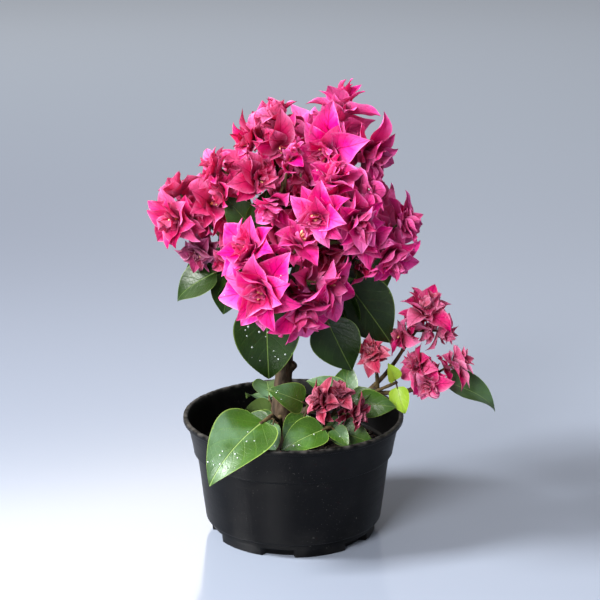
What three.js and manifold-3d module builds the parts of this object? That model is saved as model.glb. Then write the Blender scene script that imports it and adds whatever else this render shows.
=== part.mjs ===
// A young bougainvillea in a shallow round nursery pot.
// Millimetres, +Z up. The origin is the centre of the pot's flat underside, and -Y is the plant's front.
// A short woody trunk stands in the soil and forks into boughs. Each bough ends in a spray of double
// pink blossom, a spray of leaves, or both. Every spray is twigs, blades and buds fused into one solid.
import * as THREE from "three";
import { mergeVertices } from "three/addons/utils/BufferGeometryUtils.js";
import Module from "manifold-3d";

const wasm = await Module();
wasm.setup();

// ---------------------------------------------------------------- driving dimensions

const POT = {
  rimRadius: 76.5,
  lip: 2.2,
  lipHeight: 3.4,
  lipRounding: 0.6,
  height: 84,
  wall: 1.5,
  collarDepth: 25,
  collarRadius: 69.4,
  bodyTopRadius: 67.4,
  bodyFootRadius: 61.6,
  footBand: 10,
  footRadius: 57.2,
  footDraft: 1.2,
  floor: 2.2,
  footThickness: 6.5,
  footStep: 7.5,
  notches: 6,
  notchWidth: 22,
  notchHeight: 5.8,
  notchDepth: 4.6,
  firstNotchBearing: -100,
};
const SOIL_LEVEL = 60;
const CLEAR = 0.3; // between any two solids
const POT_SIDES = 40;

const LIMB_SIDES = 6;
const LIMB_RINGS = 5;
const TRUNK_RINGS = 11;
const ROOT_FLARE = 0.55; // how much wider the trunk is at the soil than just above it
const FLARE_HEIGHT = 7;
const TRUNK_RING_SPACING = 1.6; // above 1 draws the trunk's rings together towards its foot
const TRUNK = { name: "trunk", foot: [-10, 3, SOIL_LEVEL], tip: [-3, 4, 163], radii: [7.2, 4.6] };
const LIMB_REACH = 0.36; // of the straight way from foot to tip: the length of each handle of its curve
const STRAIGHTENING = 0.6; // how far a limb turns from its parent's way to its own as it leaves
const ARRIVAL_LIFT = 0.4; // how much it has turned upwards at its tip
const WOODY = 3; // limbs with a thicker foot than this have grey bark, and the others green
const PRUNED_STUB = { from: 0.5, bearing: -12, rise: 48, length: 10.5, radius: 3.6, sides: 6 };

// A bough leaves its parent at `from` (0 foot, 1 tip), ends at `tip`, and has these radii at foot and tip.
const BOUGHS = [
  { name: "bough_leader", parent: "trunk", from: 1, tip: [20, 3, 251], radii: [4.2, 2.2] },
  { name: "bough_top_left", parent: "bough_leader", from: 0.52, tip: [-11, 0, 259], radii: [2.6, 1.7] },
  { name: "bough_top_back", parent: "bough_leader", from: 0.42, tip: [7, 22, 236], radii: [2.6, 1.7] },
  { name: "bough_heart", parent: "bough_leader", from: 0.3, tip: [-4, -16, 234], radii: [2.4, 1.5] },
  { name: "bough_middle", parent: "bough_leader", from: 0.2, tip: [22, -20, 220], radii: [2.8, 1.8] },
  { name: "bough_left", parent: "trunk", from: 0.86, tip: [-49, -3, 212], radii: [3.8, 2] },
  { name: "bough_left_upper", parent: "bough_left", from: 0.5, tip: [-29, -10, 235], radii: [2.6, 1.7] },
  { name: "bough_left_low", parent: "bough_left", from: 0.62, tip: [-51, 4, 196], radii: [2.2, 1.5] },
  { name: "bough_front", parent: "trunk", from: 0.74, tip: [-8, -28, 183], radii: [3.6, 2.1] },
  { name: "bough_right", parent: "trunk", from: 0.94, tip: [42, -8, 199], radii: [3.6, 2] },
  { name: "bough_back", parent: "trunk", from: 0.8, tip: [2, 38, 190], radii: [3.6, 2] },
  { name: "bough_back_left", parent: "bough_back", from: 0.45, tip: [-29, 29, 200], radii: [2.5, 1.7] },
  { name: "bough_back_right", parent: "bough_back", from: 0.5, tip: [30, 30, 203], radii: [2.5, 1.7] },
  { name: "bough_low_right", parent: "trunk", from: 0.12, tip: [58, -8, 105], radii: [3.6, 2] },
  { name: "bough_low_right_upper", parent: "bough_low_right", from: 0.8, tip: [75, -4, 131], radii: [1.9, 1.2] },
  { name: "bough_low_right_outer", parent: "bough_low_right", from: 0.88, tip: [86, -12, 107], radii: [1.9, 1.2] },
  { name: "bough_low_front", parent: "trunk", from: 0.05, tip: [20, -32, 86], radii: [3, 1.6] },
  { name: "bough_low_left", parent: "trunk", from: 0.09, tip: [-9, -30, 92], radii: [2.8, 1.6] },
  { name: "bough_low_back", parent: "trunk", from: 0.1, tip: [-16, 32, 76], radii: [2.8, 1.5] },
];

// A spray of blossom: double flowers set round `at`, `ring` from it. Each is [bearing, rise, bract length],
// and looks the way that it stands from `at` (bearing 0 is +X, 90 is +Y; rise is upwards).
const BLOSSOM = [
  { name: "blossom_top", bough: "bough_leader", at: [32, 1, 276], ring: 17,
    blooms: [[84, 74, 29], [-117, -8, 35], [-26, -18, 30], [95, 0, 27]] },
  { name: "blossom_top_left", bough: "bough_top_left", at: [-12, -6, 279], ring: 12,
    blooms: [[0, 83, 22], [-75, -10, 26], [-160, 0, 24], [109, 4, 24]] },
  { name: "blossom_top_back", bough: "bough_top_back", at: [6, 36, 257], ring: 16,
    blooms: [[70, 50, 29], [135, 0, 29], [25, -10, 29]] },
  { name: "blossom_heart", bough: "bough_heart", at: [-7, -27, 254], ring: 15,
    blooms: [[-40, 70, 24], [-120, -50, 24]] },
  { name: "blossom_middle", bough: "bough_middle", at: [28, -36, 239], ring: 17,
    blooms: [[-119, -4, 31], [-102, 72, 27], [-55, -11, 30], [7, 26, 26]] },
  { name: "blossom_left_upper", bough: "bough_left_upper", at: [-34, -16, 256], ring: 14,
    blooms: [[-170, 20, 21], [-50, 5, 26], [82, 10, 23], [-150, -33, 22]] },
  { name: "blossom_left", bough: "bough_left", at: [-66, -6, 231], ring: 14,
    blooms: [[161, 42, 20], [-135, -12, 27], [-40, 22, 24], [92, -6, 23]] },
  { name: "blossom_left_low", bough: "bough_left_low", at: [-60, 2, 206], ring: 7, blooms: [[-112, -25, 21]] },
  { name: "blossom_front", bough: "bough_front", at: [-7, -44, 198], ring: 24,
    blooms: [[-114, -8, 38], [-147, 34, 34], [-58, -42, 37], [-19, -13, 35], [-40, 56, 28]] },
  { name: "blossom_right", bough: "bough_right", at: [56, -15, 217], ring: 15,
    blooms: [[-115, 2, 27], [-15, 24, 25], [-50, -42, 28], [75, -6, 24]] },
  { name: "blossom_back", bough: "bough_back", at: [4, 56, 213], ring: 20,
    blooms: [[95, 18, 34], [165, -12, 30], [15, -15, 30]] },
  { name: "blossom_back_left", bough: "bough_back_left", at: [-41, 38, 219], ring: 17,
    blooms: [[130, 26, 27], [85, -10, 27], [-165, -12, 26]] },
  { name: "blossom_back_right", bough: "bough_back_right", at: [38, 40, 222], ring: 17,
    blooms: [[60, 24, 27], [100, -15, 27], [5, -14, 26]] },
  { name: "blossom_low_right_upper", bough: "bough_low_right_upper", at: [86, -2, 147], ring: 13,
    blooms: [[-68, 62, 24], [-147, -6, 22], [10, -14, 19]] },
  { name: "blossom_low_right_outer", bough: "bough_low_right_outer", at: [97, -12, 118], ring: 12,
    blooms: [[-159, 28, 21], [5, 24, 21], [-112, -18, 17]] },
  { name: "blossom_low_right_inner", bough: "bough_low_right", at: [55, -16, 128], ring: 6,
    blooms: [[-112, 50, 19]] },
  { name: "blossom_low_front", bough: "bough_low_front", at: [30, -38, 101], ring: 11,
    blooms: [[-157, 27, 18], [-22, -10, 17], [-80, 62, 14]] },
];

// A spray of leaves: its stem leaves the bough at `from` and ends at `at`; the leaves' upper sides look
// towards `faces`. Each leaf is [bearing, rise, length, place on the stem, roll, its droop if not LEAF_DROOP].
const FOLIAGE = [
  { name: "leaves_front", bough: "bough_front", from: 0.75, at: [-19, -34, 183], faces: [-90, 15],
    leaves: [[-80, -78, 56, 1, 0]] },
  { name: "leaves_left", bough: "bough_left", from: 0.7, at: [-47, -6, 190], faces: [-100, 40],
    leaves: [[-177, -26, 37, 1, 10], [-165, -60, 20, 0.8, 30], [-120, -75, 30, 0.6, -20]] },
  { name: "leaves_inner", bough: "bough_left_upper", from: 0.6, at: [-25, -22, 220], faces: [-95, 20],
    leaves: [[-171, 50, 27, 1, 0], [-10, 70, 26, 0.8, 25]] },
  { name: "leaves_middle", bough: "bough_middle", from: 0.8, at: [32, -30, 214], faces: [90, 71],
    leaves: [[-158, -4, 24, 1, 0]] },
  { name: "leaves_right", bough: "bough_right", from: 0.7, at: [33, -10, 186], faces: [-70, 30],
    leaves: [[-14, -52, 51, 1, 20], [25, -58, 50, 0.8, -10], [-5, -80, 40, 0.7, 70]] },
  { name: "leaves_right_inner", bough: "bough_right", from: 0.36, at: [20, -27, 166], faces: [-100, 15],
    leaves: [[-6, -66, 43, 1, 0]] },
  { name: "leaves_back", bough: "bough_back", from: 0.72, at: [3, 48, 177], faces: [90, 35],
    leaves: [[75, -52, 54, 1, 0], [150, -50, 48, 0.8, 10], [10, -50, 48, 0.6, -10]] },
  { name: "leaves_back_left", bough: "bough_back_left", from: 0.72, at: [-38, 34, 196], faces: [130, 35],
    leaves: [[160, -30, 46, 1, 0], [118, -50, 40, 0.6, 10]] },
  { name: "leaves_back_right", bough: "bough_back_right", from: 0.72, at: [42, 36, 198], faces: [50, 35],
    leaves: [[38, -46, 44, 1, 0], [80, -58, 44, 0.7, -10]] },
  { name: "leaves_low_right", bough: "bough_low_right", from: 0.5, at: [40, -20, 99], faces: [-95, 45],
    leaves: [[-20, 36, 18, 0.9, 0], [175, 32, 30, 1, 10], [70, 60, 26, 0.6, 0], [-25, 4, 28, 1, 20]] },
  { name: "leaves_low_right_outer", bough: "bough_low_right_outer", from: 0.7, at: [98, -8, 112],
    faces: [-88, 68], leaves: [[3, -18, 46, 1, 0]] },
  { name: "leaves_young", bough: "bough_low_right", from: 0.86, at: [71, -16, 112], faces: [-100, 20],
    young: true, leaves: [[-64, -58, 20, 1, 0], [-120, 60, 15, 1, 30]] },
  { name: "leaves_low_front", bough: "bough_low_front", from: 0.8, at: [26, -42, 89], faces: [-95, 50],
    leaves: [[-145, -6, 36, 1, 0], [-57, -15, 18, 1, 0], [-14, -8, 32, 0.5, 0]] },
  { name: "leaves_low_middle", bough: "bough_low_front", from: 0.6, at: [10, -32, 102], faces: [-95, 30],
    leaves: [[-140, 30, 30, 1, 0], [-118, -42, 32, 0.85, 0]] },
  { name: "leaves_low_left", bough: "bough_low_left", from: 0.7, at: [-14, -46, 99], faces: [-110, 50],
    leaves: [[-127, -10, 62, 1, -5, 0.7], [-170, -14, 24, 0.6, 0], [-115, -62, 25, 0.7, 10]] },
  { name: "leaves_low_back", bough: "bough_low_back", from: 0.6, at: [-17, 36, 80], faces: [90, 70],
    leaves: [[95, 18, 34, 1, 0], [40, 2, 38, 0.8, 10], [125, 8, 28, 0.8, -10]] },
];

// How a bloom's bracts stand: the outer ring opens flat, the inner one stands up. Sizes are shares of the
// bloom's bract length, `opens` is degrees from the bloom's axis, and `curl` is the radians that a bract
// bends through.
const BRACT_RINGS = [
  { count: 5, length: 1, opens: 72, height: 0, curl: 0.5, width: 0.58 },
  { count: 3, length: 0.74, opens: 38, height: 0.12, curl: 0.25, width: 0.6 },
];
const BRACT_SHAPE = { fold: 0.2, outline: { bulge: 0.78, point: 1.15 } };
const LEAF_SHAPE = { fold: 0.14, outline: { bulge: 0.66, point: 0.92 } };
// How far apart chance may set two bracts of a ring: degrees round and open, share of length, radians of roll.
const BRACT_CHANCE = { round: 10, opens: 18, length: 0.16, roll: 0.4 };
const BRACT_STATION = 0.48;
const LEAF_STATIONS = [0.26, 0.62];
const LEAF_WIDTH = 0.8; // of its length
const LAST_LEAF = 0.97; // no leaf leaves its stem beyond this, so its stalk is sunk in the stem
const LEAF_DROOP = 0.35; // radians that a leaf bends through
const LEAF_STALK = 0.16; // of its length
const LEAF_THICKNESS = 0.03; // of its length, at the midrib
const BUD_RADIUS = 0.09; // of the bract's length
const BUD_STRETCH = 2.2;
const TWIG_RADIUS = 1.1;
const STEM_RADIUS = 1.4; // of the one twig of a spray that all the others stand on
const TWIG_TAPER = 0.85;
const FIRST_FORK = 0.25; // the twigs to the blooms leave the stem along the last of it,
const FORKS = 0.6; // spread evenly over this much of it
const CLOSING_STEP = 10; // a bract without room closes by this many degrees,
const SHORTENING = 0.9; // shortens to this much of itself and tries again
const CLOSING_TRIES = 5;
const BLOOM_ROOM = 0.7; // of the bract's length
const SITE_HEIGHT = 0.2; // of the bract's length: the middle of a bloom's room, above its foot
const CELL_MARGIN = 10; // mm2, by which a bract must be nearer to its own bloom than to any other,
const SIBLING_SLACK = 220; // but it may lean this much into the space of a bloom of the same spray
const BERTH = 2.2; // between a blade's middle and whatever it keeps clear of

const degrees = THREE.MathUtils.degToRad;
const vector = (list) => new THREE.Vector3(...list);
const UP = new THREE.Vector3(0, 0, 1);

// ---------------------------------------------------------------- seeded chance

// A linear congruential generator, so that the same seed always grows the same spray.
function chance(seed) {
  let state = seed >>> 0;
  return () => {
    state = (Math.imul(state, 1664525) + 1013904223) >>> 0;
    return state / 4294967296;
  };
}

function direction(bearing, rise) {
  const b = degrees(bearing);
  const r = degrees(rise);
  return new THREE.Vector3(Math.cos(b) * Math.cos(r), Math.sin(b) * Math.cos(r), Math.sin(r));
}

const hintFor = (axis, steep) => (Math.abs(axis.z) > steep ? new THREE.Vector3(0, 1, 0) : UP);

// Two unit vectors square to `axis` and to each other; the second leans to `hint`.
function crosswise(axis, hint = hintFor(axis, 0.97)) {
  const side = new THREE.Vector3().crossVectors(axis, hint).normalize();
  return [side, new THREE.Vector3().crossVectors(side, axis)];
}

// `axis` tilted by `angle` towards the point of the clock `round` about it.
function tilted(axis, angle, round) {
  const [side, over] = crosswise(axis);
  const out = side.multiplyScalar(Math.cos(round)).addScaledVector(over, Math.sin(round));
  return axis.clone().multiplyScalar(Math.cos(angle)).addScaledVector(out, Math.sin(angle));
}

// ---------------------------------------------------------------- solids

function solidOf(geometry) {
  const bare = geometry.clone();
  bare.deleteAttribute("normal");
  bare.deleteAttribute("uv");
  const merged = mergeVertices(bare, 1e-4);
  const vertProperties = merged.attributes.position.array;
  const triVerts = new Uint32Array(merged.index.array);
  return new wasm.Manifold(new wasm.Mesh({ numProp: 3, vertProperties, triVerts }));
}

// The largest piece of a solid, without loose scraps and with sealed hollows filled.
function mainPiece(solid) {
  return solid.decompose().reduce((best, piece) => (piece.volume() > best.volume() ? piece : best));
}

function geometryOf(solid) {
  const mesh = solid.getMesh();
  const geometry = new THREE.BufferGeometry();
  geometry.setAttribute("position", new THREE.BufferAttribute(new Float32Array(mesh.vertProperties), 3));
  geometry.setIndex(new THREE.BufferAttribute(new Uint32Array(mesh.triVerts), 1));
  const faceted = geometry.toNonIndexed();
  faceted.computeVertexNormals();
  return faceted;
}

// ---------------------------------------------------------------- pot and soil

// Half a cross-section, from the axis out and back to it, turned round the Z axis.
function turned(profile, sides) {
  const points = profile.map(([radius, height]) => new THREE.Vector2(radius, height));
  return solidOf(new THREE.LatheGeometry(points, sides).rotateX(Math.PI / 2));
}

function innerRadius(height) {
  const collarFoot = POT.height - POT.collarDepth;
  if (height > collarFoot) {
    const share = (height - collarFoot) / POT.collarDepth;
    return POT.collarRadius + share * (POT.rimRadius - POT.lip - POT.collarRadius) - POT.wall;
  }
  const share = (height - POT.footBand) / (collarFoot - POT.footBand);
  return POT.bodyFootRadius + share * (POT.bodyTopRadius - POT.bodyFootRadius) - POT.wall;
}

function makePot() {
  const { rimRadius, lip, height, lipHeight, wall, footRadius, footBand, floor, footStep } = POT;
  const footInside = footRadius - POT.footThickness;
  const collarFoot = height - POT.collarDepth;
  const underLip = height - lipHeight;
  const shell = turned([
    [0, 0],
    [footRadius, 0],
    [footRadius + POT.footDraft, footBand],
    [POT.bodyFootRadius, footBand + 1],
    [POT.bodyTopRadius, collarFoot - 1],
    [POT.collarRadius, collarFoot],
    [rimRadius - lip, underLip],
    [rimRadius, underLip + POT.lipRounding],
    [rimRadius, height - POT.lipRounding],
    [rimRadius - POT.lipRounding, height],
    [rimRadius - lip - wall, height - POT.lipRounding],
    [POT.collarRadius - wall, collarFoot + 0.8],
    [POT.bodyTopRadius - wall, collarFoot - 0.6],
    [POT.bodyFootRadius - wall, footBand + 1.5],
    [footInside, footStep],
    [footInside, floor],
    [0, floor],
  ], POT_SIDES);
  const notches = Array.from({ length: POT.notches }, (_, i) => {
    const bearing = degrees(POT.firstNotchBearing + (i * 360) / POT.notches);
    const cut = new THREE.BoxGeometry(POT.notchDepth * 2, POT.notchWidth, POT.notchHeight * 2);
    cut.translate(footRadius + POT.footDraft, 0, 0).rotateZ(bearing);
    return solidOf(cut);
  });
  return shell.subtract(wasm.Manifold.union(notches));
}

// The soil fills the pot to SOIL_LEVEL, and rounds off where it meets the wall.
function makeSoil() {
  const bottom = POT.floor + CLEAR;
  const bottomRadius = POT.footRadius - POT.footThickness - CLEAR * 2;
  return turned([
    [0, bottom],
    [bottomRadius, bottom],
    [bottomRadius, POT.footStep + 0.6],
    [innerRadius(POT.footBand + 1) - 0.8, POT.footBand + 2.2],
    [innerRadius(SOIL_LEVEL - 2) - CLEAR * 2, SOIL_LEVEL - 2.5],
    [innerRadius(SOIL_LEVEL - 2) - 3, SOIL_LEVEL],
    [0, SOIL_LEVEL],
  ], POT_SIDES);
}

// ---------------------------------------------------------------- trunk and boughs

// The centre line of a limb: it leaves in `leaving` and arrives turned a little upwards.
function limbCurve(foot, tip, leaving) {
  const chord = tip.clone().sub(foot);
  const reach = chord.length() * LIMB_REACH;
  chord.normalize();
  const setOff = leaving.clone().lerp(chord, STRAIGHTENING).normalize();
  const arrive = chord.clone().addScaledVector(UP, ARRIVAL_LIFT).normalize();
  return new THREE.CubicBezierCurve3(
    foot,
    foot.clone().addScaledVector(setOff, reach),
    tip.clone().addScaledVector(arrive, -reach),
    tip,
  );
}

function radiusAlong(limb, along) {
  const [footRadius, tipRadius] = limb.radii;
  const taper = footRadius + (tipRadius - footRadius) * along;
  if (limb.name !== "trunk") return taper;
  const above = along * (vector(limb.tip).z - SOIL_LEVEL);
  return taper * (1 + ROOT_FLARE * Math.exp(-above / FLARE_HEIGHT));
}

// A closed cylinder bent along the limb's centre line, `grown` by an even margin.
function limbSolid(limb, grown = 0, rings = LIMB_RINGS) {
  const tube = new THREE.CylinderGeometry(1, 1, 1, LIMB_SIDES, rings);
  const places = tube.attributes.position;
  const point = new THREE.Vector3();
  const hint = hintFor(vector(limb.tip).sub(limb.curve.v0).normalize(), 0.7);
  for (let i = 0; i < places.count; i++) {
    point.fromBufferAttribute(places, i);
    const share = (0.5 + point.y) ** (limb.name === "trunk" ? TRUNK_RING_SPACING : 1);
    const centre = limb.curve.getPoint(share);
    const axis = limb.name === "trunk" && share === 0 ? UP.clone() : limb.curve.getTangent(share);
    const [side, over] = crosswise(axis, hint);
    const radius = radiusAlong(limb, share) + grown;
    centre.addScaledVector(side, point.x * radius).addScaledVector(over, point.z * radius);
    places.setXYZ(i, centre.x, centre.y, centre.z);
  }
  return solidOf(tube);
}

function growLimbs() {
  const limbs = new Map();
  const trunk = { ...TRUNK, curve: limbCurve(vector(TRUNK.foot), vector(TRUNK.tip), UP) };
  trunk.solid = limbSolid(trunk, 0, TRUNK_RINGS).add(prunedStub(trunk));
  trunk.berth = limbSolid(trunk, CLEAR, TRUNK_RINGS).add(prunedStub(trunk, CLEAR));
  limbs.set("trunk", trunk);
  for (const row of BOUGHS) {
    const parent = limbs.get(row.parent);
    const foot = parent.curve.getPoint(row.from);
    const limb = { ...row, curve: limbCurve(foot, vector(row.tip), parent.curve.getTangent(row.from)) };
    const whole = limbSolid(limb);
    const taken = wasm.Manifold.union([...limbs.values()].map((other) => other.berth));
    limb.solid = mainPiece(whole.subtract(taken));
    limb.berth = limbSolid(limb, CLEAR);
    limbs.set(row.name, limb);
  }
  return limbs;
}

// The short dead stump where the trunk was once cut back.
function prunedStub(trunk, grown = 0) {
  const foot = trunk.curve.getPoint(PRUNED_STUB.from);
  const axis = direction(PRUNED_STUB.bearing, PRUNED_STUB.rise);
  const end = foot.clone().addScaledVector(axis, PRUNED_STUB.length + grown);
  const { radius, sides } = PRUNED_STUB;
  return prism(foot, end, radius + grown, radius * TWIG_TAPER + grown, sides);
}

// A straight tapered stick with a few flat sides.
function prism(start, end, startRadius, endRadius, sides = 3) {
  const axis = end.clone().sub(start);
  const stick = new THREE.CylinderGeometry(endRadius, startRadius, axis.length(), sides, 1);
  stick.translate(0, axis.length() / 2, 0);
  const upright = new THREE.Vector3(0, 1, 0);
  stick.applyQuaternion(new THREE.Quaternion().setFromUnitVectors(upright, axis.normalize()));
  return solidOf(stick.translate(start.x, start.y, start.z));
}

// ---------------------------------------------------------------- blades: bracts and leaves

function halfWidth(blade, along) {
  const { bulge, point } = blade.outline;
  return (blade.width / 2) * Math.max(Math.sin(Math.PI * along ** bulge), 0) ** point;
}

// A point of a blade: `along` from foot 0 to tip 1, `across` from edge to edge (-1 to 1), `above` its middle.
function bladePoint(blade, along, across, above = 0) {
  const bent = blade.curl * along;
  const run = Math.sin(bent) / blade.curl;
  const drop = (1 - Math.cos(bent)) / blade.curl;
  const side = halfWidth(blade, along) * across;
  const outwards = blade.normal.clone().multiplyScalar(Math.cos(bent));
  outwards.addScaledVector(blade.forward, Math.sin(bent));
  return blade.foot.clone()
    .addScaledVector(blade.forward, run * blade.length)
    .addScaledVector(blade.normal, -drop * blade.length)
    .addScaledVector(blade.side, side * Math.cos(blade.fold))
    .addScaledVector(outwards, Math.abs(side) * Math.sin(blade.fold) + above);
}

// A blade grows from `foot` along `forward`; its upper face looks to `facing`, rolled by `roll`.
function makeBlade(foot, forward, facing, roll, shape) {
  const normal = facing.clone().addScaledVector(forward, -facing.dot(forward)).normalize();
  normal.applyAxisAngle(forward, roll);
  const side = new THREE.Vector3().crossVectors(forward, normal);
  return { foot, forward, normal, side, ...shape };
}

function blockOf(points, faces) {
  const geometry = new THREE.BufferGeometry().setFromPoints(points);
  geometry.setIndex(faces);
  return solidOf(geometry);
}

// A leaf of flat faces: foot, tip, and at each station two edges, a crown and a keel.
function leafSolid(blade) {
  const thick = (blade.length * LEAF_THICKNESS) / 2;
  const points = [bladePoint(blade, 0, 0)];
  for (const along of LEAF_STATIONS) {
    points.push(bladePoint(blade, along, 1), bladePoint(blade, along, 0, thick));
    points.push(bladePoint(blade, along, -1), bladePoint(blade, along, 0, -thick));
  }
  const tip = points.push(bladePoint(blade, 1, 0)) - 1;
  const faces = [];
  for (let k = 0; k < 4; k++) {
    const next = (k + 1) % 4;
    faces.push(0, 1 + k, 1 + next, tip - 4 + k, tip, tip - 4 + next);
    for (let low = 1; low + 4 < tip; low += 4) {
      const high = low + 4;
      faces.push(low + k, high + k, high + next, low + k, high + next, low + next);
    }
  }
  return blockOf(points, faces);
}

// A bract is a bent wedge of four faces: the lift of its two edges gives it its thickness.
function bractSolid(blade) {
  const corners = [[0, 0], [BRACT_STATION, 1], [BRACT_STATION, -1], [1, 0]];
  const points = corners.map(([along, across]) => bladePoint(blade, along, across));
  return blockOf(points, [0, 1, 2, 3, 2, 1, 0, 2, 3, 0, 3, 1]);
}

// ---------------------------------------------------------------- how each spray branches

// The straight twigs of a spray, and the blooms or leaves that stand on them.
function branchOut(spray, limbs) {
  const bough = limbs.get(spray.bough);
  const foot = bough.curve.getPoint(spray.from ?? 1);
  const middle = vector(spray.at);
  if (spray.leaves) {
    const twigs = [{ start: foot, end: middle, radius: STEM_RADIUS }];
    const leaves = spray.leaves.map(([bearing, rise, length, place, roll, droop = LEAF_DROOP]) => {
      const start = foot.clone().lerp(middle, Math.min(place, LAST_LEAF));
      const forward = direction(bearing, rise);
      const bladeFoot = start.clone().addScaledVector(forward, length * LEAF_STALK);
      const shape = { length, width: length * LEAF_WIDTH, curl: droop, ...LEAF_SHAPE };
      return { start, blade: makeBlade(bladeFoot, forward, direction(...spray.faces), degrees(roll), shape) };
    });
    return { spray, twigs, leaves, sites: [] };
  }
  const twigs = [{ start: foot, end: middle, radius: STEM_RADIUS }];
  const blooms = spray.blooms.map(([bearing, rise, size], k) => {
    const axis = direction(bearing, rise);
    const centre = middle.clone().addScaledVector(axis, spray.ring);
    const fork = foot.clone().lerp(middle, FIRST_FORK + (FORKS * (k + 1)) / spray.blooms.length);
    twigs.push({ start: fork, end: centre, radius: TWIG_RADIUS });
    const at = centre.clone().addScaledVector(axis, size * SITE_HEIGHT);
    return { centre, axis, size, site: { spray: spray.name, at, room: size * BLOOM_ROOM } };
  });
  return { spray, twigs, blooms, sites: blooms.map((bloom) => bloom.site) };
}

// ---------------------------------------------------------------- room for each blade

// How much nearer a point is to its own bloom than to any other, each bloom weighed by its room.
function nearness(bloom, sites, point) {
  const power = (site) => point.distanceToSquared(site.at) - site.room ** 2;
  const others = sites.filter((site) => site !== bloom.site);
  return Math.min(...others.map((site) => power(site) + (site.spray === bloom.site.spray ? SIBLING_SLACK : 0)))
    - power(bloom.site);
}

// Inside the soil or the pot's wall, with a small margin.
function insidePot(point) {
  const out = Math.hypot(point.x, point.y);
  if (point.z > POT.height + 1 || out > POT.rimRadius + 1.2) return false;
  return point.z < SOIL_LEVEL + 1 || out > innerRadius(Math.min(point.z, POT.height)) - 1;
}

// Whether a point comes within `reach` of a blade's sheet.
function meets(blade, point, reach) {
  const offset = point.clone().sub(blade.foot);
  const run = offset.dot(blade.forward);
  if (run < -reach || run > blade.length + reach) return false;
  const along = Math.min(Math.max(run / blade.length, 0), 1);
  const out = Math.abs(offset.dot(blade.side));
  if (out > halfWidth(blade, along) + reach) return false;
  const drop = ((1 - Math.cos(blade.curl * along)) / blade.curl) * blade.length;
  return Math.abs(offset.dot(blade.normal) + drop - out * Math.sin(blade.fold)) < reach;
}

const ALONG_SAMPLES = [0.16, 0.3, 0.44, 0.58, 0.72, 0.86, 1];
const ACROSS_SAMPLES = [-1, -0.5, 0, 0.5, 1];
const samplesOf = (blade) => ALONG_SAMPLES.flatMap((along) => (
  ACROSS_SAMPLES.map((across) => bladePoint(blade, along, across))));

// A blade has room if it is clear of the pot, of limbs and other sprays' twigs, and of other leaves.
function hasRoom(blade, spray, balls, leaves) {
  const samples = samplesOf(blade);
  if (samples.some(insidePot)) return false;
  if (balls.some((ball) => ball.owner !== spray && meets(blade, ball.at, ball.radius + BERTH))) return false;
  return !leaves.some((leaf) => leaf.spray !== spray && (
    leaf.samples.some((point) => meets(blade, point, BERTH))
    || samples.some((point) => meets(leaf.blade, point, BERTH))));
}

// Every limb and twig as a string of balls, for blades to keep clear of.
function stringOfBalls(limbs, branchings) {
  const steps = 20;
  const balls = [];
  for (const limb of limbs.values()) {
    for (let i = 0; i <= steps; i++) {
      const share = i / steps;
      balls.push({ owner: limb.name, at: limb.curve.getPoint(share), radius: radiusAlong(limb, share) });
    }
  }
  for (const { spray, twigs } of branchings) {
    for (const { start, end, radius } of twigs) {
      for (let i = 0; i <= steps; i += 2) {
        balls.push({ owner: spray.name, at: start.clone().lerp(end, i / steps), radius });
      }
    }
  }
  return balls;
}

// ---------------------------------------------------------------- sprays

function budSolid({ centre, axis, size }) {
  const bud = new THREE.OctahedronGeometry(size * BUD_RADIUS, 0).scale(1, 1, BUD_STRETCH);
  bud.applyQuaternion(new THREE.Quaternion().setFromUnitVectors(UP, axis));
  return solidOf(bud.translate(...centre.clone().addScaledVector(axis, size * BUD_RADIUS)));
}

// Drops the leaves that have no room, and lists the rest.
function keepLeaves(branchings, balls) {
  const kept = [];
  for (const branching of branchings) {
    if (!branching.leaves) continue;
    const spray = branching.spray.name;
    branching.leaves = branching.leaves.filter(({ blade }) => hasRoom(blade, spray, balls, kept));
    kept.push(...branching.leaves.map(({ blade }) => ({ spray, blade, samples: samplesOf(blade) })));
  }
  return kept;
}

// The bracts of one bloom, as blades that have room.
function bractsOf(bloom, spray, seed, sites, balls, leaves) {
  const draw = chance(seed);
  const start = draw() * 360;
  const blades = [];
  BRACT_RINGS.forEach((ring, r) => {
    for (let k = 0; k < ring.count; k++) {
      const turn = start + (k + r / 2) * (360 / ring.count) + (draw() - 0.5) * BRACT_CHANCE.round;
      const opens = ring.opens + (draw() - 0.5) * BRACT_CHANCE.opens;
      const fullLength = bloom.size * ring.length * (1 + (draw() - 0.5) * BRACT_CHANCE.length);
      const roll = (draw() - 0.5) * BRACT_CHANCE.roll;
      for (let tries = 0; tries < CLOSING_TRIES; tries++) {
        const length = fullLength * SHORTENING ** tries;
        const shape = { length, width: length * ring.width, curl: ring.curl, ...BRACT_SHAPE };
        const forward = tilted(bloom.axis, degrees(opens - tries * CLOSING_STEP), degrees(turn));
        const foot = bloom.centre.clone().addScaledVector(bloom.axis, bloom.size * ring.height);
        const blade = makeBlade(foot, forward, bloom.axis, roll, shape);
        const inCell = samplesOf(blade).every((point) => nearness(bloom, sites, point) > CELL_MARGIN);
        if (inCell && hasRoom(blade, spray, balls, leaves)) {
          blades.push(blade);
          break;
        }
      }
    }
  });
  return blades;
}

function spraySolid({ spray, twigs, blooms, leaves }, order, sites, balls, allLeaves) {
  const solids = twigs.map((twig) => prism(twig.start, twig.end, twig.radius, twig.radius * TWIG_TAPER));
  for (const { start, blade } of leaves ?? []) {
    solids.push(prism(start, bladePoint(blade, 0.3, 0), TWIG_RADIUS * 0.9, TWIG_RADIUS * 0.5));
    solids.push(leafSolid(blade));
  }
  (blooms ?? []).forEach((bloom, k) => {
    const blades = bractsOf(bloom, spray.name, order * 1000 + k * 37 + 11, sites, balls, allLeaves);
    solids.push(budSolid(bloom), ...blades.map(bractSolid));
  });
  return wasm.Manifold.union(solids);
}

// ---------------------------------------------------------------- the whole plant

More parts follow.
